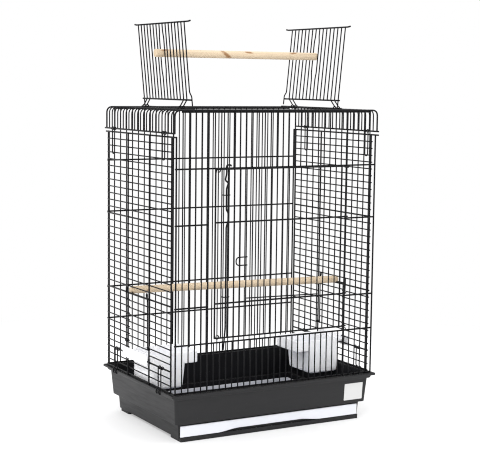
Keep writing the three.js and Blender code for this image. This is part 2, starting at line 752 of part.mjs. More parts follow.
// The base is one moulded shell: a flat rim, a collar, a tapered tub and a narrower plinth with feet and a ledge
function baseTub() {
  const cornerSteps = 4;
  const ring = (inset, extra, z, radius) => roundedOutline(
    right - inset, back - inset - extra, radius, cornerSteps,
  ).map((point) => new THREE.Vector3(point.x, point.y, z));
  const corner = tubCorner;
  const collarBottom = rimTop - collarDrop;
  const floorZ = footHeight + tubFloorLift;
  const { top, bottom, plinthTop: plinthHigh, plinthBottom } = tubInset;
  const shell = loft([
    ring(plinthBottom + 2 * tubWall, 0, floorZ - tubFloor, corner.cavity),
    ring(plinthBottom + tubWall, 0, footHeight, corner.cavity),
    ring(plinthBottom, 0, footHeight, corner.plinth),
    ring(plinthHigh, 0, plinthTop, corner.plinth),
    ring(bottom, tubExtraDepth, plinthTop + plinthStep, corner.tub),
    ring(top, tubExtraDepth, collarBottom, corner.tub),
    ring(-collarReach.bottom, 0, collarBottom, corner.tub),
    ring(-collarReach.top, 0, rimTop - rimThick, corner.tub),
    ring(-rimReach, 0, rimTop - rimThick, corner.rim),
    ring(-rimReach, 0, rimTop, corner.rim),
    ring(top + tubWall, tubExtraDepth, rimTop, corner.tub),
    ring(bottom + tubWall, tubExtraDepth, plinthTop + plinthStep + tubFloor, corner.tub),
    ring(plinthHigh + tubWall, 0, plinthTop + plinthStep + tubFloor, corner.cavity),
    ring(plinthBottom + tubWall, 0, floorZ, corner.cavity),
  ]);
  const feet = [];
  for (const side of [-1, 1]) {
    for (const end of [-1, 1]) {
      const x = side * (right - plinthBottom - footInset);
      const y = end * (back - plinthBottom - footInset);
      feet.push(slab(x, x - side * footWide, y, y - end * footLong, 0, floorZ - tubFloor / 2));
    }
  }
  const [ledgeHalf, footFront] = [right - plinthBottom - footInset, front + plinthBottom + footInset];
  feet.push(slab(-ledgeHalf, ledgeHalf, stripFront + ledgeInset, footFront + ledgeBack, 0, stripLow - ledgeGap));
  const slot = slab(
    -(trayHalf + trayGap), trayHalf + trayGap,
    front + plinthHigh - overrun, front + plinthBottom + tubWall + 2 * overrun,
    floorZ + looseGap, floorZ + looseGap + trayGap + trayHeight + trayGap,
  );
  return join([shell, ...feet]).subtract(slot);
}

// The tray slides out at the front of the plinth, and its strip has an arch for the fingers
function slideTray() {
  const stripHalf = trayHalf + stripOverlap;
  const strip = new THREE.Shape([
    new THREE.Vector2(-stripHalf, 0),
    new THREE.Vector2(archOffset - archHalf, 0),
    new THREE.Vector2(archOffset - archFlatHalf, archRise),
    new THREE.Vector2(archOffset + archFlatHalf, archRise),
    new THREE.Vector2(archOffset + archHalf, 0),
    new THREE.Vector2(stripHalf, 0),
    new THREE.Vector2(stripHalf, stripHeight),
    new THREE.Vector2(-stripHalf, stripHeight),
  ]);
  const stripGeometry = new THREE.ExtrudeGeometry(strip, { depth: stripThick, bevelEnabled: false });
  stripGeometry.rotateX(Math.PI / 2);
  stripGeometry.translate(0, stripBack, stripLow);
  const box = slab(
    -trayHalf, trayHalf, stripFront + stripThick / 2, back - trayBackInset, trayZ, trayZ + trayHeight,
  );
  const hollow = slab(
    -trayHalf + trayWall, trayHalf - trayWall, stripBack, back - trayBackInset - trayWall,
    trayZ + trayWall, trayZ + trayHeight + overrun,
  );
  return join([solid(stripGeometry), box.subtract(hollow)]);
}

// The label lies on the tapered front of the tub
function bareLabel() {
  const collarBottom = rimTop - collarDrop;
  const tubLow = plinthTop + plinthStep;
  const lean = Math.atan((tubInset.bottom - tubInset.top) / (collarBottom - tubLow));
  const z = labelBottom + labelHigh / 2;
  const insetHere = tubInset.top + (collarBottom - z) * Math.tan(lean) + tubExtraDepth;
  const plate = solid(new THREE.BoxGeometry(labelWide, labelThick, labelHigh));
  const mesh = meshOf('bare_label', plate, labelFilm());
  mesh.position.set(right - labelRight - labelWide / 2, front + insetHere - looseGap - labelThick / 2, z);
  mesh.rotation.x = lean;
  return mesh;
}

const birdCage = new THREE.Group();
birdCage.name = 'bird_cage';
birdCage.add(
  meshOf('base_tub', baseTub(), blackPlastic()),
  meshOf('slide_tray', slideTray(), whitePlastic()),
  bareLabel(),
  meshOf('front_panel', frontPanel(), enamel()),
  meshOf('back_panel', backPanel(), enamel()),
  meshOf('roof_panel', roofPanel(), enamel()),
  meshOf('main_door', mainDoor(), enamel()),
  meshOf('door_bolt', doorBolt(), enamel()),
  meshOf('door_pull', doorPull(), enamel()),
  meshOf('door_stay', doorStay(), enamel()),
  meshOf('lower_perch', lowPerch(), paleWood()),
  meshOf('top_perch', topPerch(), paleWood()),
);

for (const [name, side] of [['left', -1], ['right', 1]]) {
  birdCage.add(
    meshOf(`${name}_side_panel`, sidePanel(side), enamel()),
    meshOf(`${name}_feeder_door`, feederDoor(side), enamel()),
    meshOf(`${name}_cup`, cup(side), whitePlastic()),
  );
  const hinge = new THREE.Group();
  hinge.position.set(side * openingHalf, 0, hingeZ);
  hinge.rotation.z = side < 0 ? 0 : Math.PI;
  const flap = meshOf(`${name}_roof_flap`, roofFlap(), enamel());
  flap.rotation.y = -THREE.MathUtils.degToRad(flapLeanDegrees);
  hinge.add(flap);
  birdCage.add(hinge);
  for (const [end, index] of [['front', 0], ['back', 1]]) {
    const hookY = barY(hookBays[index]);
    const clipY = front + clipPlaceShares[index] * cabinDepth;
    birdCage.add(meshOf(`${name}_${end}_roof_hook`, roofHook(side, hookY), enamel()));
    birdCage.add(meshOf(`${name}_${end}_base_clip`, baseClip(side, clipY), enamel()));
  }
}

export default birdCage;
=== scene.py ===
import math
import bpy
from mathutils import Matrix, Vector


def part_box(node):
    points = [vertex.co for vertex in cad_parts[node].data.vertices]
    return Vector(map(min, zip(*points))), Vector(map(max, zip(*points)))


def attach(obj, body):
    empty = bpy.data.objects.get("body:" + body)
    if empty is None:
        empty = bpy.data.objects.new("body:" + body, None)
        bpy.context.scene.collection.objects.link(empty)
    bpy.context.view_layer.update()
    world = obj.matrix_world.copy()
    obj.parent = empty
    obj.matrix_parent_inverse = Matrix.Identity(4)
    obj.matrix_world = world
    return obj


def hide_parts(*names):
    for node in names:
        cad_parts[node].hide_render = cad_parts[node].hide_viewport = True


bl_info = {
    "name": "Bird Cage",
    "version": (1, 0, 0),
    "blender": (4, 5, 0),
    "location": "View3D > Sidebar > Cage",
    "description": "Dresses the frame of a wire bird cage with round wire, mouldings and wood",
    "category": "Object",
}

from types import SimpleNamespace

import bpy
import numpy as np
from bpy.props import FloatProperty, FloatVectorProperty, PointerProperty
from bpy.types import Operator, Panel, PropertyGroup
from mathutils import Matrix, Vector

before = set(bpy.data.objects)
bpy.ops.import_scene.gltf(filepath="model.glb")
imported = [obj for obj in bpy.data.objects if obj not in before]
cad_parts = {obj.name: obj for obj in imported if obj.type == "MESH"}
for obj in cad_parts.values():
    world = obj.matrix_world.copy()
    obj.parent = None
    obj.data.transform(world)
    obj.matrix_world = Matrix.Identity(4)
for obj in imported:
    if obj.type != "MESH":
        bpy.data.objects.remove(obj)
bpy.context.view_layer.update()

MM = 0.001


def in_mm(**sizes):
    """A group of named lengths, given in millimetres."""
    return SimpleNamespace(**{name: size * MM for name, size in sizes.items()})


# Surfaces

BEND_MOST, HELD_BEND_MOST, HOLD_MOST = 0.49, 0.4, 0.48
CORNER_STEPS, CORNER_HOLD, LEAST_CORNER = 8, 0.6 * MM, 0.3 * MM
EDGE_STEPS, EDGE_HOLD = 4, 0.5 * MM
ROD_SIDES, ROD_WAVER, ROD_EASE, ROD_STEP = 28, 0.006, 0.9 * MM, 4 * MM
ROD_SHARE, TIP_SHARE = 0.99, 0.5
QUARTER = np.radians([0, 30, 60, 90])
SHARP_ANGLE = math.radians(38)


def unit(vectors):
    """Each vector divided by its length."""
    return vectors / np.linalg.norm(vectors, axis=-1, keepdims=True)


def near_corner(corner, arm, reach, most):
    """The point of an arm that lies reach away from its corner, and at most a share of the arm."""
    return corner + arm * min(reach / np.linalg.norm(arm[:3]), most)


def rounded(points, reach, steps, hold=None):
    """A polyline with each inner corner B replaced by (1 - t)^2 P + 2 t (1 - t) B + t^2 Q, where P and Q lie
    on the stretches before and after it. With a hold, it also has a point that far outside P and Q."""
    points = np.asarray(points, float)
    t = np.linspace(0, 1, steps + 1)[:, None]
    out = [points[:1]]
    for before, corner, after in zip(points[:-2], points[1:-1], points[2:]):
        arms = before - corner, after - corner
        start, end = (near_corner(corner, arm, reach, HELD_BEND_MOST if hold else BEND_MOST) for arm in arms)
        bend = (1 - t) ** 2 * start + 2 * t * (1 - t) * corner + t**2 * end
        stops = [near_corner(corner, arm, reach + hold, HOLD_MOST)[None] for arm in arms] if hold else []
        out += [*stops[:1], bend, *stops[1:]]
    out.append(points[-1:])
    return np.concatenate(out)


def ring_faces(rings, count, closed=False):
    """The quads between neighbouring rings of count points, where every ring closes on itself."""
    ring = np.arange(rings if closed else rings - 1)[:, None]
    point = np.arange(count)[None, :]
    after, beside = (ring + 1) % rings, (point + 1) % count
    quads = [ring * count + point, ring * count + beside, after * count + beside, after * count + point]
    return np.stack(np.broadcast_arrays(*quads), -1).reshape(-1, 4)


def capped(rings):
    """A closed skin over rings of equal count, stacked along the first axis and anticlockwise round it."""
    rows, count = rings.shape[:2]
    first = np.arange(count)[::-1][None, :]
    last = np.arange(count)[None, :] + (rows - 1) * count
    return rings.reshape(-1, 3), [ring_faces(rows, count), first, last]


def gather(*surfaces):
    """Surfaces, each a pair of points and blocks of faces, joined into one."""
    points, blocks, start = [], [], 0
    for vertices, faces in surfaces:
        points.append(vertices)
        blocks += [block + start for block in faces]
        start += len(vertices)
    return np.concatenate(points), blocks


def carried_frames(route, closed):
    """Tangents along a route, and normals carried along it without twist."""
    steps = unit(np.diff(np.concatenate([route, route[:1]]) if closed else route, axis=0))
    if closed:
        tangents = unit(steps + np.roll(steps, 1, axis=0))
    else:
        tangents = unit(np.concatenate([steps[:1], steps[1:] + steps[:-1], steps[-1:]]))
    normals = np.empty_like(tangents)
    normal = np.eye(3)[np.argmin(np.abs(tangents[0]))]
    for station, tangent in enumerate(tangents):
        normal = normal - normal @ tangent * tangent
        normal = normal / np.linalg.norm(normal)
        normals[station] = normal
    return tangents, normals


DOME_TURNS = np.radians([20, 45, 70])


def tube(route, radius, sides=10, closed=False):
    """A circle carried along a route: P(i, j) = C(i) + r(i) (cos a(j) N(i) + sin a(j) B(i)). An open tube
    ends in domes, where r(i) = r sin t and the centre lies r / 2 (1 - cos t) from the tip."""
    route = np.asarray(route, float)
    tangents, normals = carried_frames(route, closed)
    radii = np.full(len(route), radius)
    if not closed:
        sink = radius / 2 * (1 - np.cos(DOME_TURNS))[:, None]
        heads = route[0] + sink * tangents[0], route[0] + radius / 2 * tangents[0]
        tails = route[-1] - radius / 2 * tangents[-1], route[-1] - sink[::-1] * tangents[-1]
        route = np.concatenate([heads[0], heads[1][None], route[1:-1], tails[0][None], tails[1]])
        domes = radius * np.sin(DOME_TURNS)
        radii = np.concatenate([domes, radii, domes[::-1]])
        extra = len(DOME_TURNS)
        tangents = np.concatenate([tangents[:1].repeat(extra, 0), tangents, tangents[-1:].repeat(extra, 0)])
        normals = np.concatenate([normals[:1].repeat(extra, 0), normals, normals[-1:].repeat(extra, 0)])
    angles = np.linspace(0, 2 * np.pi, sides, endpoint=False)[None, :, None]
    across = np.cross(tangents, normals)
    spokes = np.cos(angles) * normals[:, None] + np.sin(angles) * across[:, None]
    rings = route[:, None] + radii[:, None, None] * spokes
    if closed:
        return rings.reshape(-1, 3), [ring_faces(len(route), sides, closed=True)]
    return capped(rings)


def bent(route, reach, radius, steps=5):
    """A wire along a route whose corners are rounded."""
    return tube(rounded(route, reach, steps), radius)


def upright(x, y, low, high, radius):
    """A straight wire along Z."""
    return tube([[x, y, low], [x, y, high]], radius)


def crosswise(y, z, start, end, radius):
    """A straight wire along X."""
    return tube([[start, y, z], [end, y, z]], radius)


def lengthwise(x, z, start, end, radius):
    """A straight wire along Y."""
    return tube([[x, start, z], [x, end, z]], radius)


def eye(centre, axis, radius, wire_radius):
    """A wire ring round an axis: C(i) = centre + R (cos u, sin u) in the plane across the axis."""
    u = np.linspace(0, 2 * np.pi, 18, endpoint=False)
    others = [k for k in range(3) if k != axis]
    route = np.tile(np.asarray(centre, float), (len(u), 1))
    route[:, others[0]] += radius * np.cos(u)
    route[:, others[1]] += radius * np.sin(u)
    return tube(route, wire_radius, sides=8, closed=True)


def beads(places, radius):
    """A small six-sided ball at each place: P = place + r (sin p cos a, sin p sin a, cos p)."""
    places = np.asarray(places, float)
    polar = np.radians([155, 118, 62, 25])[:, None]
    turn = np.linspace(0, 2 * np.pi, 6, endpoint=False)[None, :]
    directions = np.sin(polar) * np.cos(turn), np.sin(polar) * np.sin(turn), np.cos(polar)
    ball = np.stack(np.broadcast_arrays(*directions), -1)
    return gather(*[capped(place + radius * ball) for place in places])


def outline(half_x, half_y, radius):
    """A rectangle with rounded corners, anticlockwise: each corner is an arc of the radius given, with a
    point on the straight side just before and just after it."""
    turns = np.linspace(0, np.pi / 2, CORNER_STEPS + 1)
    parts = []
    for corner in range(4):
        angle = turns + corner * np.pi / 2
        arc = np.stack([np.cos(angle), np.sin(angle)], -1) * radius
        ahead = np.array([[-math.sin(a), math.cos(a)] for a in (angle[0], angle[-1])])
        arc = np.concatenate([[arc[0] - ahead[0] * CORNER_HOLD], arc, [arc[-1] + ahead[1] * CORNER_HOLD]])
        signs = np.array([1 if corner in (0, 3) else -1, 1 if corner < 2 else -1])
        parts.append(arc + signs * (np.array([half_x, half_y]) - radius))
    return np.concatenate(parts)


def shell(rows, centre):
    """A closed shell whose rings are rounded rectangles. Each row holds half width, half depth, height and
    corner radius, and may hold a shift of its ring along X."""
    rings = []
    for row in rows:
        ring = outline(row[0], row[1], max(row[3], LEAST_CORNER)) + centre
        ring[:, 0] += row[4] if len(row) > 4 else 0.0
        rings.append(np.column_stack([ring, np.full(len(ring), row[2])]))
    return capped(np.stack(rings))


def moulding(profile, reach, centre=(0, 0)):
    """A shell whose profile runs from the middle of the underside round to the middle of the floor, with its
    edges rounded."""
    return shell(rounded(profile, reach, EDGE_STEPS, EDGE_HOLD), centre)


def slab(low, high, form):
    """A block between opposite corners of a box, whose form says how its corners and edges are rounded."""
    low, high = np.sort(np.array([low, high], float), axis=0)
    half, middle = (high - low) / 2, (high + low) / 2
    x, y = half[:2]
    radius, reach = form.corner, form.edge
    inner = [x - 2 * reach, y - 2 * reach]
    profile = [
        (*inner, low[2], max(radius - reach, reach)), (x, y, low[2], radius),
        (x, y, high[2], radius), (*inner, high[2], max(radius - reach, reach)),
    ]
    return moulding(profile, reach, middle[:2])


def turned(start, end, stations, radii):
    """A rod along a line: P(i, j) = A + s(i) D + r(i) (1 + w(i, j)) (cos a N + sin a B), where w is a sum of
    slow waves along and round the rod."""
    start, end = np.asarray(start, float), np.asarray(end, float)
    along = unit(end - start)
    normal = unit(np.cross(along, [0, 0, 1.0]))
    across = np.cross(along, normal)
    angles = np.linspace(0, 2 * np.pi, ROD_SIDES, endpoint=False)[None, :]
    s = np.asarray(stations, float)[:, None]
    wave = np.sin(s * 31 + 2 * np.cos(angles)) + 0.6 * np.sin(s * 83 + 1.3 + np.sin(angles + 1))
    radius = np.asarray(radii, float)[:, None] * (1 + ROD_WAVER * wave)
    spokes = np.cos(angles)[..., None] * normal + np.sin(angles)[..., None] * across
    return capped(start + s[..., None] * along + radius[..., None] * spokes)


# Pieces


def mesh_of(name, surface):
    points, blocks = surface
    mesh = bpy.data.meshes.new(name)
    mesh.from_pydata(points.tolist(), [], [face for block in blocks for face in block.tolist()])
    return mesh


def smooth(mesh):
    mesh.polygons.foreach_set("use_smooth", np.ones(len(mesh.polygons), bool))


def linked(name, data):
    """An object of a mesh, lamp or camera, linked to the scene."""
    thing = bpy.data.objects.new(name, data)
    bpy.context.scene.collection.objects.link(thing)
    return thing


def add_piece(name, surface, material, body, slot, *nodes):
    """A mesh object of a surface, on its body, with its material and the nodes that it stands for."""
    mesh = mesh_of(name, surface)
    smooth(mesh)
    mesh.materials.append(material)
    mesh.update()
    piece = linked(name, mesh)
    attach(piece, body)
    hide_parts(*nodes)
    return piece


def carve(piece, operation, surface):
    """Joins a closed surface to a piece, or takes its space away, and keeps the new edges crisp."""
    tool = linked("tool", mesh_of("tool", surface))
    change = piece.modifiers.new("carve", "BOOLEAN")
    change.operation, change.solver, change.object = operation, "EXACT", tool
    depsgraph = bpy.context.evaluated_depsgraph_get()
    piece_mesh = bpy.data.meshes.new_from_object(piece.evaluated_get(depsgraph))
    piece.modifiers.clear()
    piece.data = piece_mesh
    bpy.data.objects.remove(tool)
    smooth(piece_mesh)
    piece_mesh.set_sharp_from_angle(angle=SHARP_ANGLE)


# Materials


class Signal:
    """A shader socket that is reckoned with as a number: each operation adds its Math node."""

    def __init__(self, graph, socket):
        self.graph, self.socket = graph, socket

    def reckon(self, operation, *values):
        return self.graph.node("ShaderNodeMath", {"operation": operation}, dict(enumerate(values)))

    def __add__(self, other):
        return self.reckon("ADD", self, other)

    def __sub__(self, other):
        return self.reckon("SUBTRACT", self, other)

    def __rsub__(self, other):
        return self.reckon("SUBTRACT", other, self)

    def __mul__(self, other):
        return self.reckon("MULTIPLY", self, other)

    __radd__ = __add__
    __rmul__ = __mul__

    def between(self, low, high):
        """0 below low, 1 above high and a smooth step between them."""
        sockets = {"Value": self, "From Min": low, "From Max": high}
        return self.graph.node("ShaderNodeMapRange", {"interpolation_type": "SMOOTHSTEP"}, sockets)


class Graph:
    """A node tree whose nodes are added by type, settings and the values or links of their sockets."""

    def __init__(self, tree):
        self.tree = tree

    def fill(self, node, sockets):
        for key, value in sockets.items():
            if isinstance(value, Signal):
                self.tree.links.new(value.socket, node.inputs[key])
            else:
                node.inputs[key].default_value = value

    def node(self, kind, settings, sockets, output=0):
        node = self.tree.nodes.new(kind)
        for key, value in settings.items():
            setattr(node, key, value)
        self.fill(node, sockets)
        return Signal(self, node.outputs[output])


class Finish(Graph):
    """A material round a Principled shader, with the textures that the cage's finishes are made of."""

    def __init__(self, name, **base):
        self.material = bpy.data.materials.new(name)
        self.material.use_nodes = True
        super().__init__(self.material.node_tree)
        self.shader = self.tree.nodes["Principled BSDF"]
        self.set(**base)
        self.place = self.node("ShaderNodeTexCoord", {}, {}, "Object")

    def set(self, **base):
        """Sets or links sockets of the shader, whose names are written with underscores."""
        self.fill(self.shader, {socket.replace("_", " "): value for socket, value in base.items()})

    def vector(self, operation, first, second=(0, 0, 0), output=0):
        return self.node("ShaderNodeVectorMath", {"operation": operation}, {0: first, 1: second}, output)

    def height(self, vector):
        return self.node("ShaderNodeSeparateXYZ", {}, {"Vector": vector}, "Z")

    def facing(self):
        return self.node("ShaderNodeNewGeometry", {}, {}, "Normal")

    def upward(self):
        """1 on faces that look up and 0 on steep ones."""
        return self.height(self.facing()).between(0.8, 0.97)

    def mapped(self, scale=(1, 1, 1), rotation=(0, 0, 0)):
        sockets = {"Vector": self.place, "Scale": scale, "Rotation": rotation}
        return self.node("ShaderNodeMapping", {}, sockets)

    def noise(self, scale, detail=3.0, roughness=0.5, vector=None, distortion=0.0):
        sockets = {
            "Vector": vector or self.place, "Scale": scale, "Detail": detail, "Roughness": roughness,
            "Distortion": distortion,
        }
        return self.node("ShaderNodeTexNoise", {}, sockets)

    def cells(self, scale):
        return self.node("ShaderNodeTexVoronoi", {}, {"Vector": self.place, "Scale": scale})

    def mix(self, factor, first, second):
        """A colour between two, which may be numbers or links."""
        sockets = {0: factor, 6: first, 7: second}
        return self.node("ShaderNodeMix", {"data_type": "RGBA"}, sockets, 2)

    def bump(self, height, strength, distance):
        sockets = {"Height": height, "Strength": strength, "Distance": distance}
        self.set(Normal=self.node("ShaderNodeBump", {}, sockets))

    def vary(self, factor, colour, low, high):
        """A colour that runs from one shade of itself to another."""
        return self.mix(factor, shade(colour, low), shade(colour, high))


def shade(colour, factor):
    """A colour times a number, opaque."""
    return tuple(min(1.0, channel * factor) for channel in colour[:3]) + (1.0,)


def enamel_finish(colours):
    """Baked black enamel on wire: a slight orange peel, duller patches and a few pale specks of dust."""
    finish = Finish("enamel", IOR=1.5, Specular_IOR_Level=0.12)
    patches = finish.noise(60.0, 4.0)
    specks = finish.noise(900.0, 2.0).between(0.68, 0.78)
    colour = finish.vary(patches, colours.enamel, 0.75, 1.35)
    finish.set(Base_Color=finish.mix(specks * 0.35, colour, shade(colours.dust, 0.55)))
    finish.set(Roughness=0.34 + patches * 0.2 + specks * 0.2)
    finish.bump(finish.noise(700.0, 2.0) + finish.noise(2600.0, 1.0) * 0.3, 0.25, 0.15 * MM)
    return finish.material


def tub_finish(colours):
    """Black polystyrene off a polished mould: faint flow marks, fine grain, wiped streaks and dust specks.
    The flat top of the rim has a coarse, speckled grain, and the faces that look inwards are duller: a painted
    shade for the shade inside the tub."""
    finish = Finish("black_moulding", IOR=1.49)
    upward = finish.upward()
    outward = finish.vector("MULTIPLY", finish.place, (1, 1, 0))
    # Painted shade: faces that look inwards reflect less, standing in for the shade inside the tub.
    inward_painted_shade = 1 - finish.vector("DOT_PRODUCT", finish.facing(), outward, "Value").between(-0.06, 0.0)
    spangle = finish.noise(420.0, 3.0, 0.75).between(0.54, 0.66) * upward
    flow = finish.noise(9.0, 4.0, vector=finish.mapped((1, 1, 2.5)), distortion=0.6)
    grain = finish.noise(1400.0, 2.0)
    streaks = finish.noise(55.0, 5.0, 0.7, finish.mapped((0.25, 0.25, 3.0)))
    specks = (1 - finish.cells(170.0)).between(0.955, 0.975) * finish.noise(40.0, 1.0).between(0.45, 0.6)
    colour = finish.vary(flow, colours.moulding, 0.85, 1.25)
    colour = finish.mix(spangle * 0.6, colour, shade(colours.dust, 0.4))
    finish.set(Base_Color=finish.mix(specks * 0.5, colour, shade(colours.dust, 0.6)))
    wiped = streaks.between(0.35, 0.8) * 0.13
    finish.set(Roughness=0.42 + wiped + specks * 0.2 + grain * 0.04 + upward * 0.3)
    finish.set(Specular_IOR_Level=0.36 - upward * 0.28 - inward_painted_shade * 0.26)
    coarse = finish.noise(420.0, 2.0, 0.6) * upward
    finish.bump(grain * 0.35 + flow + streaks * 0.3 + coarse * 18.0, 0.12, 0.2 * MM)
    return finish.material


def white_finish(name, colour, gloss, painted_shade_below=None):
    """White polypropylene: cloudy depth, a soft skin, fine mould grain and a little grey dust. Flat faces
    that look up from below a given height get a painted shade, mottled blue-grey, as the tray's floor does."""
    finish = Finish(name, IOR=1.49, Subsurface_Weight=0.12, Subsurface_Scale=4 * MM)
    finish.set(Subsurface_Radius=(1.0, 0.95, 0.9))
    clouds = finish.noise(22.0, 3.0)
    grain = finish.noise(1100.0, 2.0)
    dust = finish.noise(260.0, 4.0, 0.7).between(0.62, 0.8)
    tint = finish.vary(clouds, colour, 0.965, 1.0)
    tint = finish.mix(dust * 0.12, tint, shade(colour, 0.72))
    if painted_shade_below:
        # Painted shade: the tray's floor is darkened to a mottled blue-grey that stands in for the shade deep
        # in the tub.
        height = finish.height(finish.place)
        floor = finish.upward() * (1 - height.between(painted_shade_below - 1 * MM, painted_shade_below))
        shade_mottle = finish.noise(230.0, 4.0, 0.7).between(0.47, 0.62)
        tint = finish.mix(floor, tint, finish.mix(shade_mottle, (0.1, 0.11, 0.15, 1.0), (0.5, 0.53, 0.62, 1.0)))
    finish.set(Base_Color=tint)
    finish.set(Roughness=gloss - 0.04 + clouds * 0.06 + dust * 0.2)
    finish.bump(grain + clouds * 0.6, 0.08, 0.2 * MM)
    return finish.material


def label_finish(colours):
    """A plain white film label: paper fibre under a satin coat."""
    finish = Finish("label_film", IOR=1.45)
    fibre = finish.noise(900.0, 5.0, 0.7)
    mottle = finish.noise(70.0, 3.0)
    finish.set(Base_Color=finish.vary(mottle, colours.label, 0.97, 1.0))
    finish.set(Roughness=0.38 + fibre * 0.14)
    finish.bump(fibre, 0.1, 0.05 * MM)
    return finish.material


def wood_finish(name, colours, axis_turn, knots):
    """Peeled round wood: long grain, faint stains, brown knots and a dry, slightly fuzzy skin. Each knot is a
    place, its reach along and across the rod, and its slant."""
    finish = Finish(name, IOR=1.45)
    along = finish.mapped(rotation=(0, 0, axis_turn))
    grain = finish.noise(4.0, 5.0, 0.6, finish.vector("MULTIPLY", along, (3.0, 60.0, 60.0)), 0.4)
    fibre = finish.noise(3.0, 4.0, 0.65, finish.vector("MULTIPLY", along, (12.0, 380.0, 380.0)))
    blotch = finish.noise(14.0, 3.0, 0.6, along)
    pale, dark, heart = shade(colours.wood, 1.1), shade(colours.wood, 0.6), shade(colours.knot, 1.0)
    colour = finish.mix(grain.between(0.42, 0.8), pale, shade(colours.wood, 0.86))
    colour = finish.mix(fibre.between(0.58, 0.88) * 0.4, colour, dark)
    colour = finish.mix(blotch.between(0.56, 0.78) * 0.5, colour, shade(colours.stain, 1.0))
    knotted = None
    for place, long, across, slant in knots:
        sockets = {"Vector": finish.place, "Center": place, "Angle": slant}
        turned_place = finish.node("ShaderNodeVectorRotate", {"rotation_type": "Y_AXIS"}, sockets)
        offset = finish.vector("SUBTRACT", turned_place, place)
        scaled = finish.vector("MULTIPLY", offset, (1 / long, 1 / long, 1 / across))
        near = finish.vector("LENGTH", scaled, output="Value")
        ragged = near + (finish.noise(190.0, 4.0, 0.7) - 0.5) * 1.3
        mask = 1 - ragged.between(0.35, 1.0)
        knotted = mask if knotted is None else knotted.reckon("MAXIMUM", knotted, mask)
    colour = finish.mix(knotted * 0.9, colour, heart)
    finish.set(Base_Color=colour)
    finish.set(Roughness=0.55 + fibre * 0.2)
    finish.bump(grain * 0.5 + fibre - knotted * 0.8, 0.35, 0.3 * MM)
    return finish.material


# Sizes and colours that a user would change


def length(name, millimetres, description):
    return FloatProperty(
        name=name, description=description, default=millimetres * MM, min=0.0, unit="LENGTH", precision=4,
    )


def tint(name, value, description):
    return FloatVectorProperty(
        name=name, description=description, default=value, size=3, subtype="COLOR", min=0, max=1,
    )


class CageSizes(PropertyGroup):
    thin: length("Thin wire", 1.2, "Radius of the bars and rows")
    stout: length("Stout wire", 1.6, "Radius of the cross wires, stiles and hinge wires")
    bead: length("Weld bead", 1.25, "Radius of the bead of metal at each weld")
    bend: length("Bend", 3.0, "How far from its corner a small bend in a wire starts")
    roof_bend: length("Roof bend", 12.0, "How far from its corner the bend from roof to skirt starts")
    edge: length("Moulded edge", 0.8, "Rounding of the edges of the mouldings")


class CageColours(PropertyGroup):
    enamel: tint("Enamel", (0.004, 0.004, 0.005), "Enamel on the wires")
    moulding: tint("Black moulding", (0.007, 0.007, 0.008), "Base of the cage")
    white: tint("White moulding", (0.95, 0.955, 0.98), "Cups")
    tray: tint("Tray", (0.69, 0.7, 0.745), "Slide-out tray and its front strip")
    label: tint("Label", (0.58, 0.58, 0.575), "Bare label on the base")
    wood: tint("Wood", (0.54, 0.43, 0.3), "Perches")
    knot: tint("Knot", (0.24, 0.11, 0.035), "Knots in the perches")
    stain: tint("Stain", (0.4, 0.26, 0.13), "Stains in the perches")
    dust: tint("Dust", (0.62, 0.61, 0.6), "Dust on the black parts")
    floor: tint("Floor", (0.88, 0.88, 0.885), "Floor of the stage")


# Counts and clearances that the frame was made with
FRONT_BAYS, ROOF_BAYS, FLAP_BAYS, SIDE_ROWS = 33, 23, 15, 35
DOORWAY = (5, 28)
SIDE_NAMES = {-1: "left", 1: "right"}
LEVEL_SHARES = {"sill": 0.192, "low": 0.338, "high": 0.6605, "lintel": 0.878}
BACK_SILL_LIFT = 4.7 * MM
BACK_STOUT_BARS = range(0, FRONT_BAYS + 1, 11)
WELD, TOUCH, LOOSE, RUN, END = 0.5 * MM, 0.1 * MM, 0.3 * MM, 0.4 * MM, 1.5 * MM


class Layout:
    """Places of the cage's wires, read off the boxes of the frame's nodes."""

    def __init__(self):
        sizes = bpy.context.scene.cage_sizes
        self.thin, self.stout, self.bead, self.bend = sizes.thin, sizes.stout, sizes.bead, sizes.bend
        self.roof_bend, self.edge = sizes.roof_bend, sizes.edge
        front_box, side_box, roof_box = (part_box(n) for n in ("front_panel", "right_side_panel", "roof_panel"))
        self.right = front_box[1][0] - self.stout
        self.back = -(front_box[0][1] + self.stout)
        self.front = -self.back
        self.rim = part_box("base_tub")[1][2]
        self.cabin_top = side_box[1][2] - self.stout
        self.weld = self.thin + self.stout - WELD
        self.touch = self.thin + self.stout + TOUCH
        self.roof = roof_box[1][2] - self.stout - self.weld
        self.skirt = roof_box[0][2] + self.stout
        self.plane = self.right + 2 * self.stout + LOOSE
        self.floor_wire = self.rim + LOOSE + self.stout
        self.head_wire = self.roof - self.thin - LOOSE - self.stout
        self.bar_top = self.roof - self.thin - RUN
        self.hinge = self.roof + self.weld
        self.loop = self.stout + self.thin
        self.ring = (self.stout + RUN) / math.cos(math.pi / 6) + self.thin
        self.levels = {name: self.height(share) for name, share in LEVEL_SHARES.items()}

    def height(self, share):
        """The height at a share of the cabin's, from the rim to its top."""
        return self.rim + share * (self.cabin_top - self.rim)

    def bar_x(self, index):
        return (2 * index / FRONT_BAYS - 1) * self.right

    def bar_y(self, index):
        return (2 * index / ROOF_BAYS - 1) * self.back

    def row_z(self, row):
        return self.cabin_top - row * (self.cabin_top - self.floor_wire) / SIDE_ROWS

    def middle(self, side, node):
        """The middle along Y of a node that each side has."""
        low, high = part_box(f"{SIDE_NAMES[side]}_{node}")
        return (low[1] + high[1]) / 2


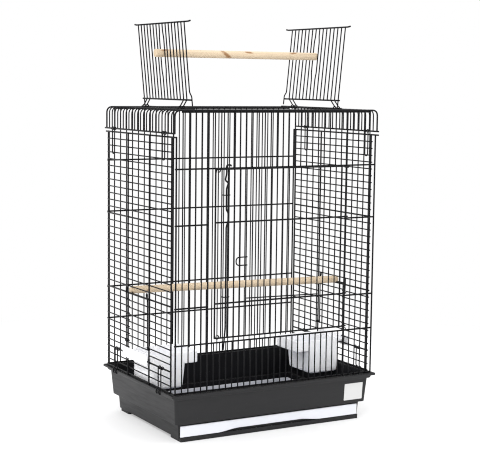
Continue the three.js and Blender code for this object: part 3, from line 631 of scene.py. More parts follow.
def upright_panel(lay, plane, cross, stout_bars, doorway=(0, 0)):
    """A panel of bars and cross wires in a plane across Y, with a weld bead at each crossing. cross holds
    (offset, z, first, last), and the bars inside the doorway stop at its sill and lintel."""
    cross = [
        (lay.weld, lay.floor_wire, 0, FRONT_BAYS), (lay.weld, lay.head_wire, 1, FRONT_BAYS - 1), *cross,
    ]
    surfaces, places = [], []
    for offset, z, first, last in cross:
        ends = lay.bar_x(first) - END, lay.bar_x(last) + END
        surfaces.append(crosswise(plane + offset, z, *ends, lay.stout))
    for index in range(FRONT_BAYS + 1):
        x, radius = lay.bar_x(index), lay.stout if index in stout_bars else lay.thin
        low, high = lay.floor_wire - END, lay.cabin_top + END if index in (0, FRONT_BAYS) else lay.bar_top
        runs = [(low, high)]
        if doorway[0] < index < doorway[1]:
            runs = [(low, lay.levels["sill"] + END), (lay.levels["lintel"] - END, high)]
        for start, end in runs:
            surfaces.append(upright(x, plane, start, end, radius))
            for _, z, first, last in cross:
                if first <= index <= last and start <= z <= end:
                    places.append([x, plane + lay.thin, z])
    return gather(*surfaces, beads(places, lay.bead))


def front_panel(lay):
    cross = [(lay.touch, lay.levels[name], 0, FRONT_BAYS) for name in ("sill", "lintel")]
    for name in ("low", "high"):
        cross.append((lay.touch, lay.levels[name], 0, DOORWAY[0]))
        cross.append((lay.touch, lay.levels[name], DOORWAY[1], FRONT_BAYS))
    return upright_panel(lay, lay.front, cross, (0, *DOORWAY, FRONT_BAYS), DOORWAY)


def back_panel(lay):
    cross = []
    for name, z in lay.levels.items():
        lift = BACK_SILL_LIFT if name == "sill" else 0
        cross.append((lay.touch, z + lift, 0, FRONT_BAYS))
    return upright_panel(lay, lay.back, cross, BACK_STOUT_BARS)


STOUT_ROWS = (0, 12, 23, 32, 35)
OPENING_ROWS = range(24, 32)
STILE_INSETS = (16 * MM, 6 * MM)
ROW_POKES = (6 * MM, 3 * MM)
RAIL_REACH = 48.5 * MM


def side_panel(lay, side):
    middle = lay.middle(side, "feeder_door")
    x, low, high = side * lay.plane, lay.floor_wire - END, lay.cabin_top + END
    stiles = [lay.front + STILE_INSETS[0], lay.back - STILE_INSETS[1]]
    rails = [middle - RAIL_REACH, middle + RAIL_REACH]
    stile_x, rail_x = side * (lay.plane - lay.weld), side * (lay.plane + lay.touch)
    surfaces = [upright(stile_x, y, low, high, lay.stout) for y in stiles]
    surfaces += [upright(rail_x, y, low, high, lay.stout) for y in rails]
    places = []
    for row in range(SIDE_ROWS + 1):
        z, radius = lay.row_z(row), lay.stout if row in STOUT_ROWS else lay.thin
        start, end = stiles[0] - END, stiles[1] + END
        if row == 0:
            start, end = lay.front - ROW_POKES[0], lay.back + ROW_POKES[1]
        runs = [(start, end)]
        if row in OPENING_ROWS:
            runs = [(start, rails[0] + END), (rails[1] - END, end)]
        surfaces += [lengthwise(x, z, a, b, radius) for a, b in runs]
        places += [[x - side * radius, y, z] for y in stiles] + [[x + side * radius, y, z] for y in rails]
    return gather(*surfaces, beads(places, lay.bead))


OPENING_BARS = range(4, 20)
OPENING_HALF = 164 * MM
SKIRT_POKE = 3 * MM


def roof_panel(lay):
    surfaces, places = [], []
    for index in range(ROOF_BAYS + 1):
        y = lay.bar_y(index)
        half = {s: [[s * lay.plane, y, lay.skirt - END], [s * lay.plane, y, lay.roof]] for s in (-1, 1)}
        if index in OPENING_BARS:
            for side, points in half.items():
                points = points + [[side * (OPENING_HALF - END), y, lay.roof]]
                surfaces.append(bent(points, lay.roof_bend, lay.thin, steps=8))
        else:
            radius = lay.stout if index in (0, ROOF_BAYS) else lay.thin
            surfaces.append(bent(half[-1] + half[1][::-1], lay.roof_bend, radius, steps=8))
        places += [[s * (lay.plane + lay.thin), y, lay.skirt] for s in (-1, 1)]
        if OPENING_BARS[0] - 1 <= index <= OPENING_BARS[-1] + 1:
            places += [[s * OPENING_HALF, y, lay.roof + lay.thin] for s in (-1, 1)]
    start, end = lay.bar_y(OPENING_BARS[0] - 1) - END, lay.bar_y(OPENING_BARS[-1] + 1) + END
    for side in (-1, 1):
        x = side * (lay.plane + lay.weld)
        surfaces.append(lengthwise(x, lay.skirt, lay.front - SKIRT_POKE, lay.back + SKIRT_POKE, lay.stout))
        surfaces.append(lengthwise(side * OPENING_HALF, lay.hinge, start, end, lay.stout))
    return gather(*surfaces, beads(places, lay.bead))


DOOR_STEPS = {"sill": 10.3 * MM, "low": 5.9 * MM, "high": 4 * MM, "lintel": -1 * MM}
HINGE_RUN, HINGE_NECK = 8 * MM, 0.6
BOLT_BAY = 7.5
BOLT_ENDS = (12.6 * MM, 6.9 * MM)
STAPLE_SHARES = (0.29, 0.84)
STAPLE_WIRE_SHARE, LOOP_WIRE_SHARE, CURL_WIRE_SHARE, SMALL_BEAD_SHARE = 0.9, 0.8, 0.75, 0.9
FINGER = 9 * MM
KINK_SHARES = (0, 0.12, 0.667, 0.7, 0.745, 0.76, 0.874, 0.904, 0.919, 0.953)
KINK_SHIFTS = (-4 * MM, 0, 0, 4 * MM, 4 * MM, 0, 0, 4 * MM, -3 * MM, 0)
CURL, CURL_WIDTH = 5 * MM, 7 * MM


class DoorPlaces:
    """Planes and heights of the front door and what it carries."""

    def __init__(self, lay):
        self.bars = lay.front - lay.stout - LOOSE - lay.thin
        self.cross = self.bars - lay.weld
        self.bolt = self.cross - 2 * lay.stout - LOOSE
        self.staple = self.bolt - lay.stout - LOOSE - lay.thin
        self.face = self.bars - 2 * lay.thin - LOOSE
        self.levels = [lay.levels[name] + step for name, step in DOOR_STEPS.items()]
        self.bolt_ends = lay.levels["sill"] - BOLT_ENDS[0], lay.levels["lintel"] + BOLT_ENDS[1]

    def bolt_z(self, share):
        low, high = self.bolt_ends
        return low + share * (high - low)


def main_door(lay):
    at = DoorPlaces(lay)
    hinge_x = lay.bar_x(DOORWAY[1])
    first, last = DOORWAY[0] + 1, DOORWAY[1] - 1
    ring = lay.ring
    surfaces, places = [], []
    for z in at.levels:
        eye_z = min(z, lay.levels["lintel"] - 2 * lay.stout - LOOSE)
        route = [
            [lay.bar_x(first) - END, at.cross, z], [hinge_x - HINGE_RUN, at.cross, z],
            [hinge_x - ring * HINGE_NECK, lay.front - ring - lay.thin / 2, eye_z],
            [hinge_x, lay.front - ring, eye_z],
        ]
        surfaces.append(bent(route, lay.bend, lay.stout))
        surfaces.append(eye([hinge_x, lay.front, eye_z], 2, ring, lay.thin))
    low, high = at.levels[0] - END, at.levels[-1] + END
    for index in range(first, last + 1):
        x, radius = lay.bar_x(index), lay.stout if index in (first, last) else lay.thin
        surfaces.append(upright(x, at.bars, low, high, radius))
        places += [[x, at.bars - lay.thin, z] for z in at.levels]
    x = lay.bar_x(first)
    for z, turn in ((at.levels[-1], 1), (at.levels[0], -1)):
        near, far, rise = x + CURL / 2, x + CURL_WIDTH, turn * CURL
        hook = [
            [x, at.bars, z - 2 * rise], [x, at.face, z - rise / 2], [near, at.face, z + rise / 3],
            [far, at.cross - 2 * lay.stout, z], [far, at.cross - lay.stout, z - rise],
            [near, at.face, z - rise],
        ]
        surfaces.append(bent(hook, lay.bend, lay.thin, steps=6))
    x0, x1 = lay.bar_x(math.floor(BOLT_BAY)), lay.bar_x(math.ceil(BOLT_BAY))
    for share in STAPLE_SHARES:
        z = at.bolt_z(share)
        route = [[x0, at.bars, z], [x0, at.staple, z], [x1, at.staple, z], [x1, at.bars, z]]
        surfaces.append(bent(route, lay.bend, lay.thin * STAPLE_WIRE_SHARE, steps=6))
        places += [[x0, at.bars, z], [x1, at.bars, z]]
    return gather(*surfaces, beads(places, lay.bead))


def door_bolt(lay):
    at = DoorPlaces(lay)
    x = lay.bar_x(BOLT_BAY)
    high = at.bolt_ends[1]
    route = [[x + shift, at.bolt, at.bolt_z(share)] for share, shift in zip(KINK_SHARES, KINK_SHIFTS)]
    route += [[x, at.bolt, high], [x + FINGER, at.bolt, high], [x + FINGER, at.bolt, high - FINGER / 3]]
    return bent(route, lay.bend, lay.stout, steps=6)


PULL_BAR, PULL_REACH, PULL_HEIGHT, PULL_SHARE = 11, 23 * MM, 15.5 * MM, 0.496
STAY_BARS, STAY_LIFT, STAY_RISE = (11, 23), 0.4 * MM, 3 * MM


def door_pull(lay):
    at = DoorPlaces(lay)
    x = lay.bar_x(PULL_BAR)
    low = lay.height(PULL_SHARE)
    high, far = low + PULL_HEIGHT, x - PULL_REACH
    route = [[x + END, at.face, high], [far, at.face, high], [far, at.face, low], [x + END, at.face, low]]
    return bent(route, PULL_HEIGHT / 2, lay.thin, steps=8)


def door_stay(lay):
    at = DoorPlaces(lay)
    z = at.levels[1] + lay.stout + lay.thin + LOOSE + STAY_LIFT
    ends = [[lay.bar_x(STAY_BARS[0]), at.face, z + STAY_RISE], [lay.bar_x(STAY_BARS[1]), at.face, z]]
    return tube(ends, lay.thin)


FEEDER_BARS, FEEDER_PITCH, FEEDER_BOTTOM, FEEDER_ROD = 8, 14 * MM, 69 * MM, 44 * MM
HAIRPIN = in_mm(out=0.7, rise=11, tail=16)
CURL_RING, CURL_INSET = 2.2 * MM, 1 * MM


def feeder_door(lay, side):
    middle = lay.middle(side, "feeder_door")
    x = side * (lay.plane + lay.touch + lay.stout + LOOSE + lay.thin)
    rod_x = x - side * (2 * lay.thin - WELD)
    claw_x = side * (lay.plane + lay.stout + RUN)
    claw = RAIL_REACH + lay.stout + RUN + lay.thin
    low = lay.rim + FEEDER_BOTTOM
    high = low + (FEEDER_BARS - 1) * FEEDER_PITCH
    rods, rails = ([middle + end * reach for end in (-1, 1)] for reach in (FEEDER_ROD, RAIL_REACH))
    surfaces = [upright(rod_x, y, low - END, high + END, lay.thin) for y in rods]
    places = []
    for bar in range(FEEDER_BARS):
        z = low + bar * FEEDER_PITCH
        if bar in (0, FEEDER_BARS - 1):
            ends = [(claw_x, -claw), (x, -claw), (x, claw), (claw_x, claw)]
            route = [[place, middle + reach, z] for place, reach in ends]
            surfaces.append(bent(route, lay.bend, lay.thin, steps=6))
        else:
            surfaces.append(lengthwise(x, z, rods[0] - END, rods[1] + END, lay.thin))
        places += [[(x + rod_x) / 2, y, z] for y in rods]
    out_x, top = x + side * HAIRPIN.out, high + HAIRPIN.rise
    for end, rod_y, rail_y in zip((-1, 1), rods, rails):
        route = [
            [rod_x, rod_y, high], [out_x, rod_y, (high + top) / 2], [out_x, rod_y, top],
            [out_x, rail_y, top], [out_x, rail_y, high], [x, rail_y, high - HAIRPIN.tail],
        ]
        surfaces.append(bent(route, lay.bend, lay.thin, steps=6))
        centre = [x - side * CURL_INSET, middle + end * claw, low + CURL_RING]
        surfaces.append(eye(centre, 1, CURL_RING, lay.thin * CURL_WIRE_SHARE))
    return gather(*surfaces, beads(places, lay.bead * SMALL_BEAD_SHARE))


FLAP_LENGTH, FLAP_FOOT, FLAP_POKE, FLAP_LEAN = 161 * MM, 16 * MM, 21 * MM, math.radians(5.5)
LEG_BARS, LEG_SLANT_SHARE = (1, 2, 13, 14), 1.25
GATE_SHARES, PERCH_RADIUS = (0.365, 0.44, 0.83, 0.905), 7.65 * MM
JOG = in_mm(low=22, high=30, depth=7.5, foot=4)
TIP = in_mm(long=9, rise=1.2)


def roof_flap(lay, side):
    """A flap: worked out on a hinge at the origin, leant outwards, turned to its side and set in place."""
    pitch = 2 * lay.right / FRONT_BAYS
    top, ring, gate = FLAP_LENGTH + END, lay.ring, PERCH_RADIUS + LOOSE + lay.thin
    surfaces, places = [], []
    for index in range(FLAP_BAYS + 1):
        y = (index - FLAP_BAYS / 2) * pitch
        route = [[0, y, FLAP_FOOT - END], [0, y, top]]
        if index in LEG_BARS:
            foot = y + LEG_SLANT_SHARE * pitch
            route = [[0, y, top], [0, y, FLAP_FOOT], [0, foot, ring]]
            surfaces.append(eye([0, foot, 0], 1, ring, lay.thin))
        elif index in (FLAP_BAYS // 2, FLAP_BAYS // 2 + 1):
            a, b, c, d = (share * FLAP_LENGTH for share in GATE_SHARES)
            wide = math.copysign(gate, y)
            route = [[0, y, FLAP_FOOT - END], [0, y, a], [0, wide, b], [0, wide, c], [0, y, d], [0, y, top]]
        elif index == 0:
            outward = y - JOG.depth
            route = [[0, outward, JOG.foot], [0, outward, JOG.low], [0, y, JOG.high], [0, y, top]]
        elif index == FLAP_BAYS:
            route = [[0, y, lay.stout + 2 * LOOSE], [0, y, top]]
        surfaces.append(bent(route, lay.bend, lay.thin))
        places += [[-lay.thin, y, FLAP_FOOT], [lay.thin, y, FLAP_LENGTH]]
    foot, head = FLAP_BAYS / 2 * pitch + END, FLAP_BAYS / 2 * pitch + FLAP_POKE
    surfaces.append(lengthwise(-lay.weld, FLAP_FOOT, -foot - JOG.depth, foot, lay.stout))
    bend, tip = head - TIP.long, FLAP_LENGTH + TIP.rise
    head_places = [(-head, tip), (-bend, FLAP_LENGTH), (bend, FLAP_LENGTH), (head, tip)]
    surfaces.append(bent([[lay.weld, y, z] for y, z in head_places], lay.bend, lay.stout))
    points, faces = gather(*surfaces, beads(places, lay.bead))
    turn = Matrix.Rotation(0 if side < 0 else math.pi, 3, "Z") @ Matrix.Rotation(-FLAP_LEAN, 3, "Y")
    return points @ np.array(turn).T + [side * OPENING_HALF, 0, lay.hinge], faces


HOOK_WIDE, HOOK_DROP, HOOK_BARS = 10 * MM, 50 * MM, {"front": 3, "back": 20}
HOOK_BEND = HOOK_WIDE / 2.2
CLIP_WIDE, CLIP_LIP, CLIP_DROP, CLIP_SHARES = 11.5 * MM, 4 * MM, 2.5 * MM, {"front": 0.174, "back": 0.826}
CLIP_ROW, CLIP_TURN, RIM_REACH, RIM_THICK = 32, 2 * MM, 9 * MM, 4 * MM


def loops(lay, x, z, places):
    """The loops that hang a hook or clip on a wire along Y."""
    return [eye([x, y, z], 1, lay.loop, lay.thin * LOOP_WIRE_SHARE) for y in places]


def roof_hook(lay, side, end):
    y = lay.bar_y(HOOK_BARS[end])
    x = side * (lay.plane + lay.stout + LOOSE + lay.thin)
    y0, y1 = y - HOOK_WIDE / 2, y + HOOK_WIDE / 2
    axis = side * (lay.plane + lay.weld)
    high, low = lay.skirt - lay.loop, lay.skirt - HOOK_DROP
    route = [[x, y0, high], [x, y0, low], [x, y1, low], [x, y1, high]]
    return gather(bent(route, HOOK_BEND, lay.thin, steps=8), *loops(lay, axis, lay.skirt, (y0, y1)))


def base_clip(lay, side, end):
    y = lay.front + CLIP_SHARES[end] * 2 * lay.back
    y0, y1 = y - CLIP_WIDE / 2, y + CLIP_WIDE / 2
    ring_x, leg_x = side * (lay.plane + lay.loop), side * (lay.right + RIM_REACH + LOOSE + lay.thin)
    row_z, low, turn = lay.row_z(CLIP_ROW), lay.rim - RIM_THICK - CLIP_DROP, lay.rim + LOOSE + lay.thin
    lip_x = leg_x - side * CLIP_LIP
    leg = [(ring_x, row_z), (ring_x, turn + CLIP_TURN), (leg_x, turn), (leg_x, low), (lip_x, low)]
    route = [[x, y0, z] for x, z in leg] + [[x, y1, z] for x, z in leg[::-1]]
    return gather(bent(route, lay.bend, lay.thin), *loops(lay, side * lay.plane, row_z, (y0, y1)))


# Base, tray, cups and label

COLLAR = in_mm(drop=10, top=4, bottom=2)
TUB = in_mm(top=2, bottom=6, extra=1, wall=3, floor=2.5)
PLINTH = in_mm(top=15, bottom=17, height=34.5, step=1)
FOOT = in_mm(height=6, wide=30, long=40, inset=2, corner=4, edge=0.4)
LEDGE = in_mm(gap=0.9, inset=0.7, back=3, corner=2, edge=0.5)
CORNERS = in_mm(rim=4, tub=6, well=4, plinth=4, cavity=3)
FLOOR_LIFT = 9.5 * MM
UNDER_CLOSING, FLOOR_CLOSING = 12 * MM, 8 * MM


def base_shell(lay):
    """The whole base as one profile: underside, plinth, tub, collar, rim, inner walls and floor."""
    collar_z, floor_z = lay.rim - COLLAR.drop, FOOT.height + FLOOR_LIFT
    step_z, extra, wall = PLINTH.height + PLINTH.step, TUB.extra, TUB.wall
    under_z, well_z = floor_z - TUB.floor, step_z + TUB.floor
    low, high = PLINTH.bottom, PLINTH.top
    profile = [
        (low + UNDER_CLOSING, 0, under_z, "cavity"), (low + 2 * wall, 0, under_z, "cavity"),
        (low + wall, 0, FOOT.height, "cavity"), (low, 0, FOOT.height, "plinth"),
        (high, 0, PLINTH.height, "plinth"), (TUB.bottom, extra, step_z, "tub"),
        (TUB.top, extra, collar_z, "tub"), (-COLLAR.bottom, 0, collar_z, "tub"),
        (-COLLAR.top, 0, lay.rim - RIM_THICK, "tub"), (-RIM_REACH, 0, lay.rim - RIM_THICK, "rim"),
        (-RIM_REACH, 0, lay.rim, "rim"), (TUB.top + wall, extra, lay.rim, "well"),
        (TUB.bottom + wall, extra, well_z, "well"), (high + wall, 0, well_z, "cavity"),
        (low + wall, 0, floor_z, "cavity"), (low + wall + FLOOR_CLOSING, 0, floor_z, "cavity"),
    ]
    rows = [
        (lay.right - inset, lay.back - inset - deeper, z, getattr(CORNERS, corner))
        for inset, deeper, z, corner in profile
    ]
    return moulding(rows, lay.edge)


def base_feet(lay):
    feet, top = [], FOOT.height + FLOOR_LIFT - TUB.floor / 2
    for side in (-1, 1):
        for end in (-1, 1):
            x = side * (lay.right - PLINTH.bottom - FOOT.inset)
            y = end * (lay.back - PLINTH.bottom - FOOT.inset)
            inner = x - side * FOOT.wide, y - end * FOOT.long, top
            feet.append(slab((x, y, 0), inner, FOOT))
    return gather(*feet)


def front_ledge(lay):
    """The wall that joins the two front feet below the tray's strip."""
    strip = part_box("slide_tray")[0]
    inset = PLINTH.bottom + FOOT.inset
    half, foot_y = lay.right - inset, lay.front + inset
    low, high = (-half, strip[1] + LEDGE.inset, 0), (half, foot_y + LEDGE.back, strip[2] - LEDGE.gap)
    return slab(low, high, LEDGE)


STRIP = in_mm(thick=2.7, height=21.2, overlap=5.5, edge=0.7)
STRIP_INSETS, STRIP_STATIONS, FACE_STEPS = (1.4 * MM, 5.6 * MM), 120, 14
STRIP_EASE = np.array([0, 0.3, 1])
ARCH = in_mm(offset=-6, half=116, flat=69, rise=4.4, scoop=1.1)
SLOT = in_mm(before=1, deep=8, corner=0.5, edge=0.1)
TRAY = in_mm(wall=2, height=13.5, corner=2.5, well_corner=1.5, edge=0.5, closing=6, closing_corner=1)


def tray_slot(lay):
    """The space that the tray slides through in the plinth's front wall."""
    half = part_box("slide_tray")[1][0] - STRIP.overlap + RUN
    low = FOOT.height + FLOOR_LIFT + LOOSE
    front, high = lay.front + PLINTH.top - SLOT.before, low + TRAY.height + 2 * RUN
    return slab((-half, front, low), (half, front + SLOT.deep, high), SLOT)


def tray_strip():
    """The front strip: its section is carried from end to end. Its lower edge rises in a smooth step to the
    arch, z = rise * S with S = s^2 (3 - 2 s), and over the arch its face sinks by scoop * S (1 - v)^2 at a
    share v of its height."""
    low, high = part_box("slide_tray")
    left, right = low[0] + STRIP_INSETS[0], high[0] - STRIP_INSETS[1]
    z0, z1 = low[2], low[2] + STRIP.height
    y0, y1, edge = low[1], low[1] + STRIP.thick, STRIP.edge
    inner = np.linspace(left, right, STRIP_STATIONS)[2:-2]
    x = np.concatenate([left + edge * STRIP_EASE, inner, right - edge * STRIP_EASE[::-1]])
    draw = edge * np.concatenate([STRIP_EASE[::-1], np.zeros(len(inner)), STRIP_EASE])
    s = np.clip((ARCH.half - np.abs(x - ARCH.offset)) / (ARCH.half - ARCH.flat), 0, 1)
    s = s**2 * (3 - 2 * s)
    arc = edge * (1 - np.cos(QUARTER))
    v = np.linspace(0, 1, FACE_STEPS)[None, :]
    bottom, top = (z0 + ARCH.rise * s + draw)[:, None], (z1 - draw)[:, None]
    near, far = (y0 + draw)[:, None], (y1 - draw)[:, None]
    face_z = bottom + edge + v * (top - bottom - 2 * edge)
    face_y = near + ARCH.scoop * s[:, None] * (1 - v) ** 2
    lip_y = face_y[:, :1]
    sections = np.concatenate([
        np.stack([far - arc, bottom + arc[::-1]], -1),
        np.stack([lip_y + arc[::-1], bottom + arc], -1),
        np.stack([face_y, face_z], -1)[:, 1:-1],
        np.stack([near + arc, top - arc[::-1]], -1),
        np.stack([far - arc[::-1], top - arc], -1),
    ], axis=1)
    across = np.broadcast_to(x[:, None], sections.shape[:2])
    return capped(np.stack([across, sections[..., 0], sections[..., 1]], -1)[::-1])


def tray_box():
    low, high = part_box("slide_tray")
    half = high[0] - STRIP.overlap
    y0, y1 = low[1] + STRIP.thick / 2, high[1]
    middle, depth = (y0 + y1) / 2, (y1 - y0) / 2
    floor = FOOT.height + FLOOR_LIFT + LOOSE + RUN
    top, wall, closing = floor + TRAY.height, TRAY.wall, TRAY.closing
    profile = [
        (closing, floor, "closing_corner"), (0, floor, "corner"), (0, top, "corner"),
        (wall, top, "well_corner"), (wall, floor + wall, "well_corner"),
        (wall + closing, floor + wall, "closing_corner"),
    ]
    rows = [(half - inset, depth - inset, z, getattr(TRAY, corner)) for inset, z, corner in profile]
    return moulding(rows, TRAY.edge, (0, middle))


LABEL = in_mm(half=np.array([21.75, 17.25, 0.3]), corner=1.2, edge=0.12)


def main_label(lay):
    """The label's plate: a thin block, leant with the tub's front face."""
    low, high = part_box("bare_label")
    centre = (np.array(low) + np.array(high)) / 2
    collar_z, step_z = lay.rim - COLLAR.drop, PLINTH.height + PLINTH.step
    lean = math.atan((TUB.bottom - TUB.top) / (collar_z - step_z))
    points, faces = slab(-LABEL.half, LABEL.half, LABEL)
    turn = Matrix.Rotation(lean, 3, "X") @ Matrix.Rotation(math.pi / 2, 3, "X")
    return points @ np.array(turn).T + centre, faces


CUP = in_mm(
    inset=6.5, reach=78, lip=25, half=43, top=53, depth=70, lean=8, lip_depth=22, corner=8, wall=2, round=6,
    lip_round=2, least_corner=1, over=1,
)
BRIDGE = in_mm(thick=3, corner=0.8, edge=0.3)
PLATE = in_mm(half=55, thick=2.2, top=57, height=20, corner=0.9, edge=0.35)
HANG_ROW = 32


BOWL_TURNS, BOWL_STEPS = np.radians([0, 18, 36, 54, 72, 90]), 7


def cup_skin(side, middle, inner, outer, half, low, high, corner, lean, floor_round):
    """The skin of a bowl: a rounded rectangle that leans at its inner side, drawn in at its floor by
    r (1 - sin t) at the height r (1 - cos t), for t over a quarter turn."""
    bottom = floor_round * (1 - np.sin(BOWL_TURNS)), low + floor_round * (1 - np.cos(BOWL_TURNS))
    wall = np.linspace(low + floor_round, high, BOWL_STEPS + 1)[1:]
    draws = np.concatenate([[2 * floor_round], bottom[0], np.zeros(BOWL_STEPS)])
    heights = np.concatenate([[low], bottom[1], wall])
    leans = lean * (high - heights) / (high - low)
    rows = []
    for draw, z, slant in zip(draws, heights, leans):
        corner_here = max(corner - draw / 2, CUP.least_corner)
        rows.append(((outer - inner - slant) / 2 - draw, half - draw, z, corner_here, side * slant / 2))
    return shell(rows, (side * (inner + outer) / 2, middle))


def cup_parts(lay, side):
    """The solids that are joined to a cup's bowl, and those that are taken away from it."""
    middle = lay.middle(side, "cup")
    outer = lay.right - CUP.inset
    inner, wall, half, corner = outer - CUP.reach, CUP.wall, CUP.half, CUP.corner
    lip, lip_end = inner - CUP.lip, inner + 2 * corner
    top = lay.rim + CUP.top
    low, lip_low, over = top - CUP.depth, top - CUP.lip_depth, top + CUP.over
    plate_x, plate_top = lay.plane + lay.touch + lay.stout + LOOSE, lay.rim + PLATE.top
    bridge_z = lay.row_z(HANG_ROW) + lay.stout + LOOSE

    def block(form, x0, x1, reach, z0, z1):
        return slab((side * x0, middle - reach, z0), (side * x1, middle + reach, z1), form)

    def skin(x0, x1, reach, z0, z1, radius, lean, floor_round):
        return cup_skin(side, middle, x0, x1, reach, z0, z1, radius, lean, floor_round)

    bridge_end, bridge_top = plate_x + PLATE.thick / 2, bridge_z + BRIDGE.thick
    plate_end, plate_low = plate_x + PLATE.thick, plate_top - PLATE.height
    well_half, well_corner, well_round = half - wall, corner - wall, CUP.round - wall
    joined = [
        skin(lip, lip_end, half, lip_low, top, corner, 0, CUP.lip_round),
        block(BRIDGE, outer - wall / 2, bridge_end, half - corner, bridge_z, bridge_top),
        block(PLATE, plate_x, plate_end, PLATE.half, plate_low, plate_top),
    ]
    taken = [
        skin(inner + wall, outer - wall, well_half, low + wall, over, well_corner, CUP.lean, well_round),
        skin(lip + wall, lip_end, well_half, lip_low + wall, over, well_corner, 0, CUP.lip_round / 2),
    ]
    return skin(inner, outer, half, low, top, corner, CUP.lean, CUP.round), joined, taken


class Build:
    """What every operator of the cage shares: it adds its pieces with the cage's layout and colours."""

    bl_options = {"REGISTER", "UNDO"}

    @classmethod
    def poll(cls, context):
        return context.scene is not None

    def execute(self, context):
        self.add(Layout(), context.scene.cage_colours)
        return {"FINISHED"}


def wire_piece(node, surface, body):
    """A piece of wire, enamelled with the material that the first such piece makes."""
    enamel = bpy.data.materials.get("enamel") or enamel_finish(bpy.context.scene.cage_colours)
    add_piece(f"{node}_wire", surface, enamel, body, "black_wire", node)


class CAGE_OT_base(Build, Operator):
    """Add the moulded base, its tray and its label"""

    bl_idname = "cage.base"
    bl_label = "Base, Tray and Label"

    def add(self, lay, colours):
        black = tub_finish(colours)
        # The tray's upward faces below this height get a painted shade.
        painted_shade_below = FOOT.height + FLOOR_LIFT + TRAY.height / 2
        white = white_finish("tray_moulding", colours.tray, 0.3, painted_shade_below)
        tub = add_piece("base_shell", base_shell(lay), black, "cage", "black_plastic", "base_tub")
        carve(tub, "UNION", base_feet(lay))
        carve(tub, "UNION", front_ledge(lay))
        carve(tub, "DIFFERENCE", tray_slot(lay))
        tray = gather(tray_box(), tray_strip())
        add_piece("tray_moulding", tray, white, "tray", "white_plastic", "slide_tray")
        film = label_finish(colours)
        add_piece("label_plate", main_label(lay), film, "cage", "label_film", "bare_label")


class CAGE_OT_panels(Build, Operator):
    """Add the round wires of the front, back, side and roof panels"""

    bl_idname = "cage.panels"
    bl_label = "Wire Panels"

    def add(self, lay, colours):
        wire_piece("front_panel", front_panel(lay), "cage")
        wire_piece("back_panel", back_panel(lay), "cage")
        wire_piece("roof_panel", roof_panel(lay), "cage")
        for side, name in SIDE_NAMES.items():
            wire_piece(f"{name}_side_panel", side_panel(lay, side), "cage")


class CAGE_OT_front_door(Build, Operator):
    """Add the front door with its bolt, pull and stay"""

    bl_idname = "cage.front_door"
    bl_label = "Front Door"

    def add(self, lay, colours):
        wire_piece("main_door", main_door(lay), "front_door")
        wire_piece("door_bolt", door_bolt(lay), "bolt")
        wire_piece("door_pull", door_pull(lay), "front_door")
        wire_piece("door_stay", door_stay(lay), "front_door")


class CAGE_OT_feeders(Build, Operator):
    """Add the lifting feeder doors and the cups that hang behind them"""

    bl_idname = "cage.feeders"
    bl_label = "Feeder Doors and Cups"

    def add(self, lay, colours):
        white = white_finish("cup_moulding", colours.white, 0.32)
        for side, name in SIDE_NAMES.items():
            wire_piece(f"{name}_feeder_door", feeder_door(lay, side), f"{name}_feeder")
            bowl, joined, taken = cup_parts(lay, side)
            cup = add_piece(f"{name}_cup_moulding", bowl, white, "cage", "white_plastic", f"{name}_cup")
            for operation, surfaces in (("UNION", joined), ("DIFFERENCE", taken)):
                for surface in surfaces:
                    carve(cup, operation, surface)


class CAGE_OT_flaps(Build, Operator):
    """Add the two roof flaps on their hinge wires"""

    bl_idname = "cage.flaps"
    bl_label = "Roof Flaps"

    def add(self, lay, colours):
        for side, name in SIDE_NAMES.items():
            wire_piece(f"{name}_roof_flap", roof_flap(lay, side), f"{name}_flap")


class CAGE_OT_hooks(Build, Operator):
    """Add the hooks that hold the roof and the clips that hold the base"""

    bl_idname = "cage.hooks"
    bl_label = "Hooks and Clips"

    def add(self, lay, colours):
        for side, name in SIDE_NAMES.items():
            for end in HOOK_BARS:
                wire_piece(f"{name}_{end}_roof_hook", roof_hook(lay, side, end), f"{name}_{end}_hook")
                wire_piece(f"{name}_{end}_base_clip", base_clip(lay, side, end), f"{name}_{end}_clip")


TOP_KNOTS = (
    {"x": -37 * MM, "near": 0.85, "rise": -1 * MM, "size": (18 * MM, 5.5 * MM), "slant": -0.6},
    {"x": -172 * MM, "near": 0.5, "rise": 5.5 * MM, "size": (12 * MM, 2.6 * MM), "slant": 0.1},
    {"x": 14 * MM, "near": 0.6, "rise": 4.8 * MM, "size": (12 * MM, 2.8 * MM), "slant": -0.1},
    {"x": 118 * MM, "near": 0.5, "rise": 5.5 * MM, "size": (12 * MM, 2.4 * MM), "slant": 0.1},
)
LOW_KNOTS = ({"x": -193 * MM, "near": 0.8, "rise": -1 * MM, "size": (12 * MM, 2.4 * MM), "slant": 0.5},)
LOW_SHIFTS = (34 * MM, -18 * MM)
LOW_TURN = 0.114


def rod_profile(stretches):
    """Stations and radii of a rod: each stretch holds its start, end and radius, and its ends are eased to
    the radius r - e + e sin t at the station e (1 - cos t), for t over a quarter turn."""
    stations, radii = [[stretches[0][0]]], [[stretches[0][2] * TIP_SHARE]]
    for start, end, radius in stretches:
        inset, rise = ROD_EASE * (1 - np.cos(QUARTER)), radius - ROD_EASE + ROD_EASE * np.sin(QUARTER)
        steps = max(3, int((end - start) / ROD_STEP))
        inner = np.linspace(start + ROD_EASE, end - ROD_EASE, steps)[1:-1]
        stations += [start + inset, inner, end - inset[::-1]]
        radii += [rise, np.full(len(inner), radius), rise[::-1]]
    stations.append([stretches[-1][1]])
    radii.append([stretches[-1][2] * TIP_SHARE])
    return np.concatenate(stations), np.concatenate(radii) * ROD_SHARE


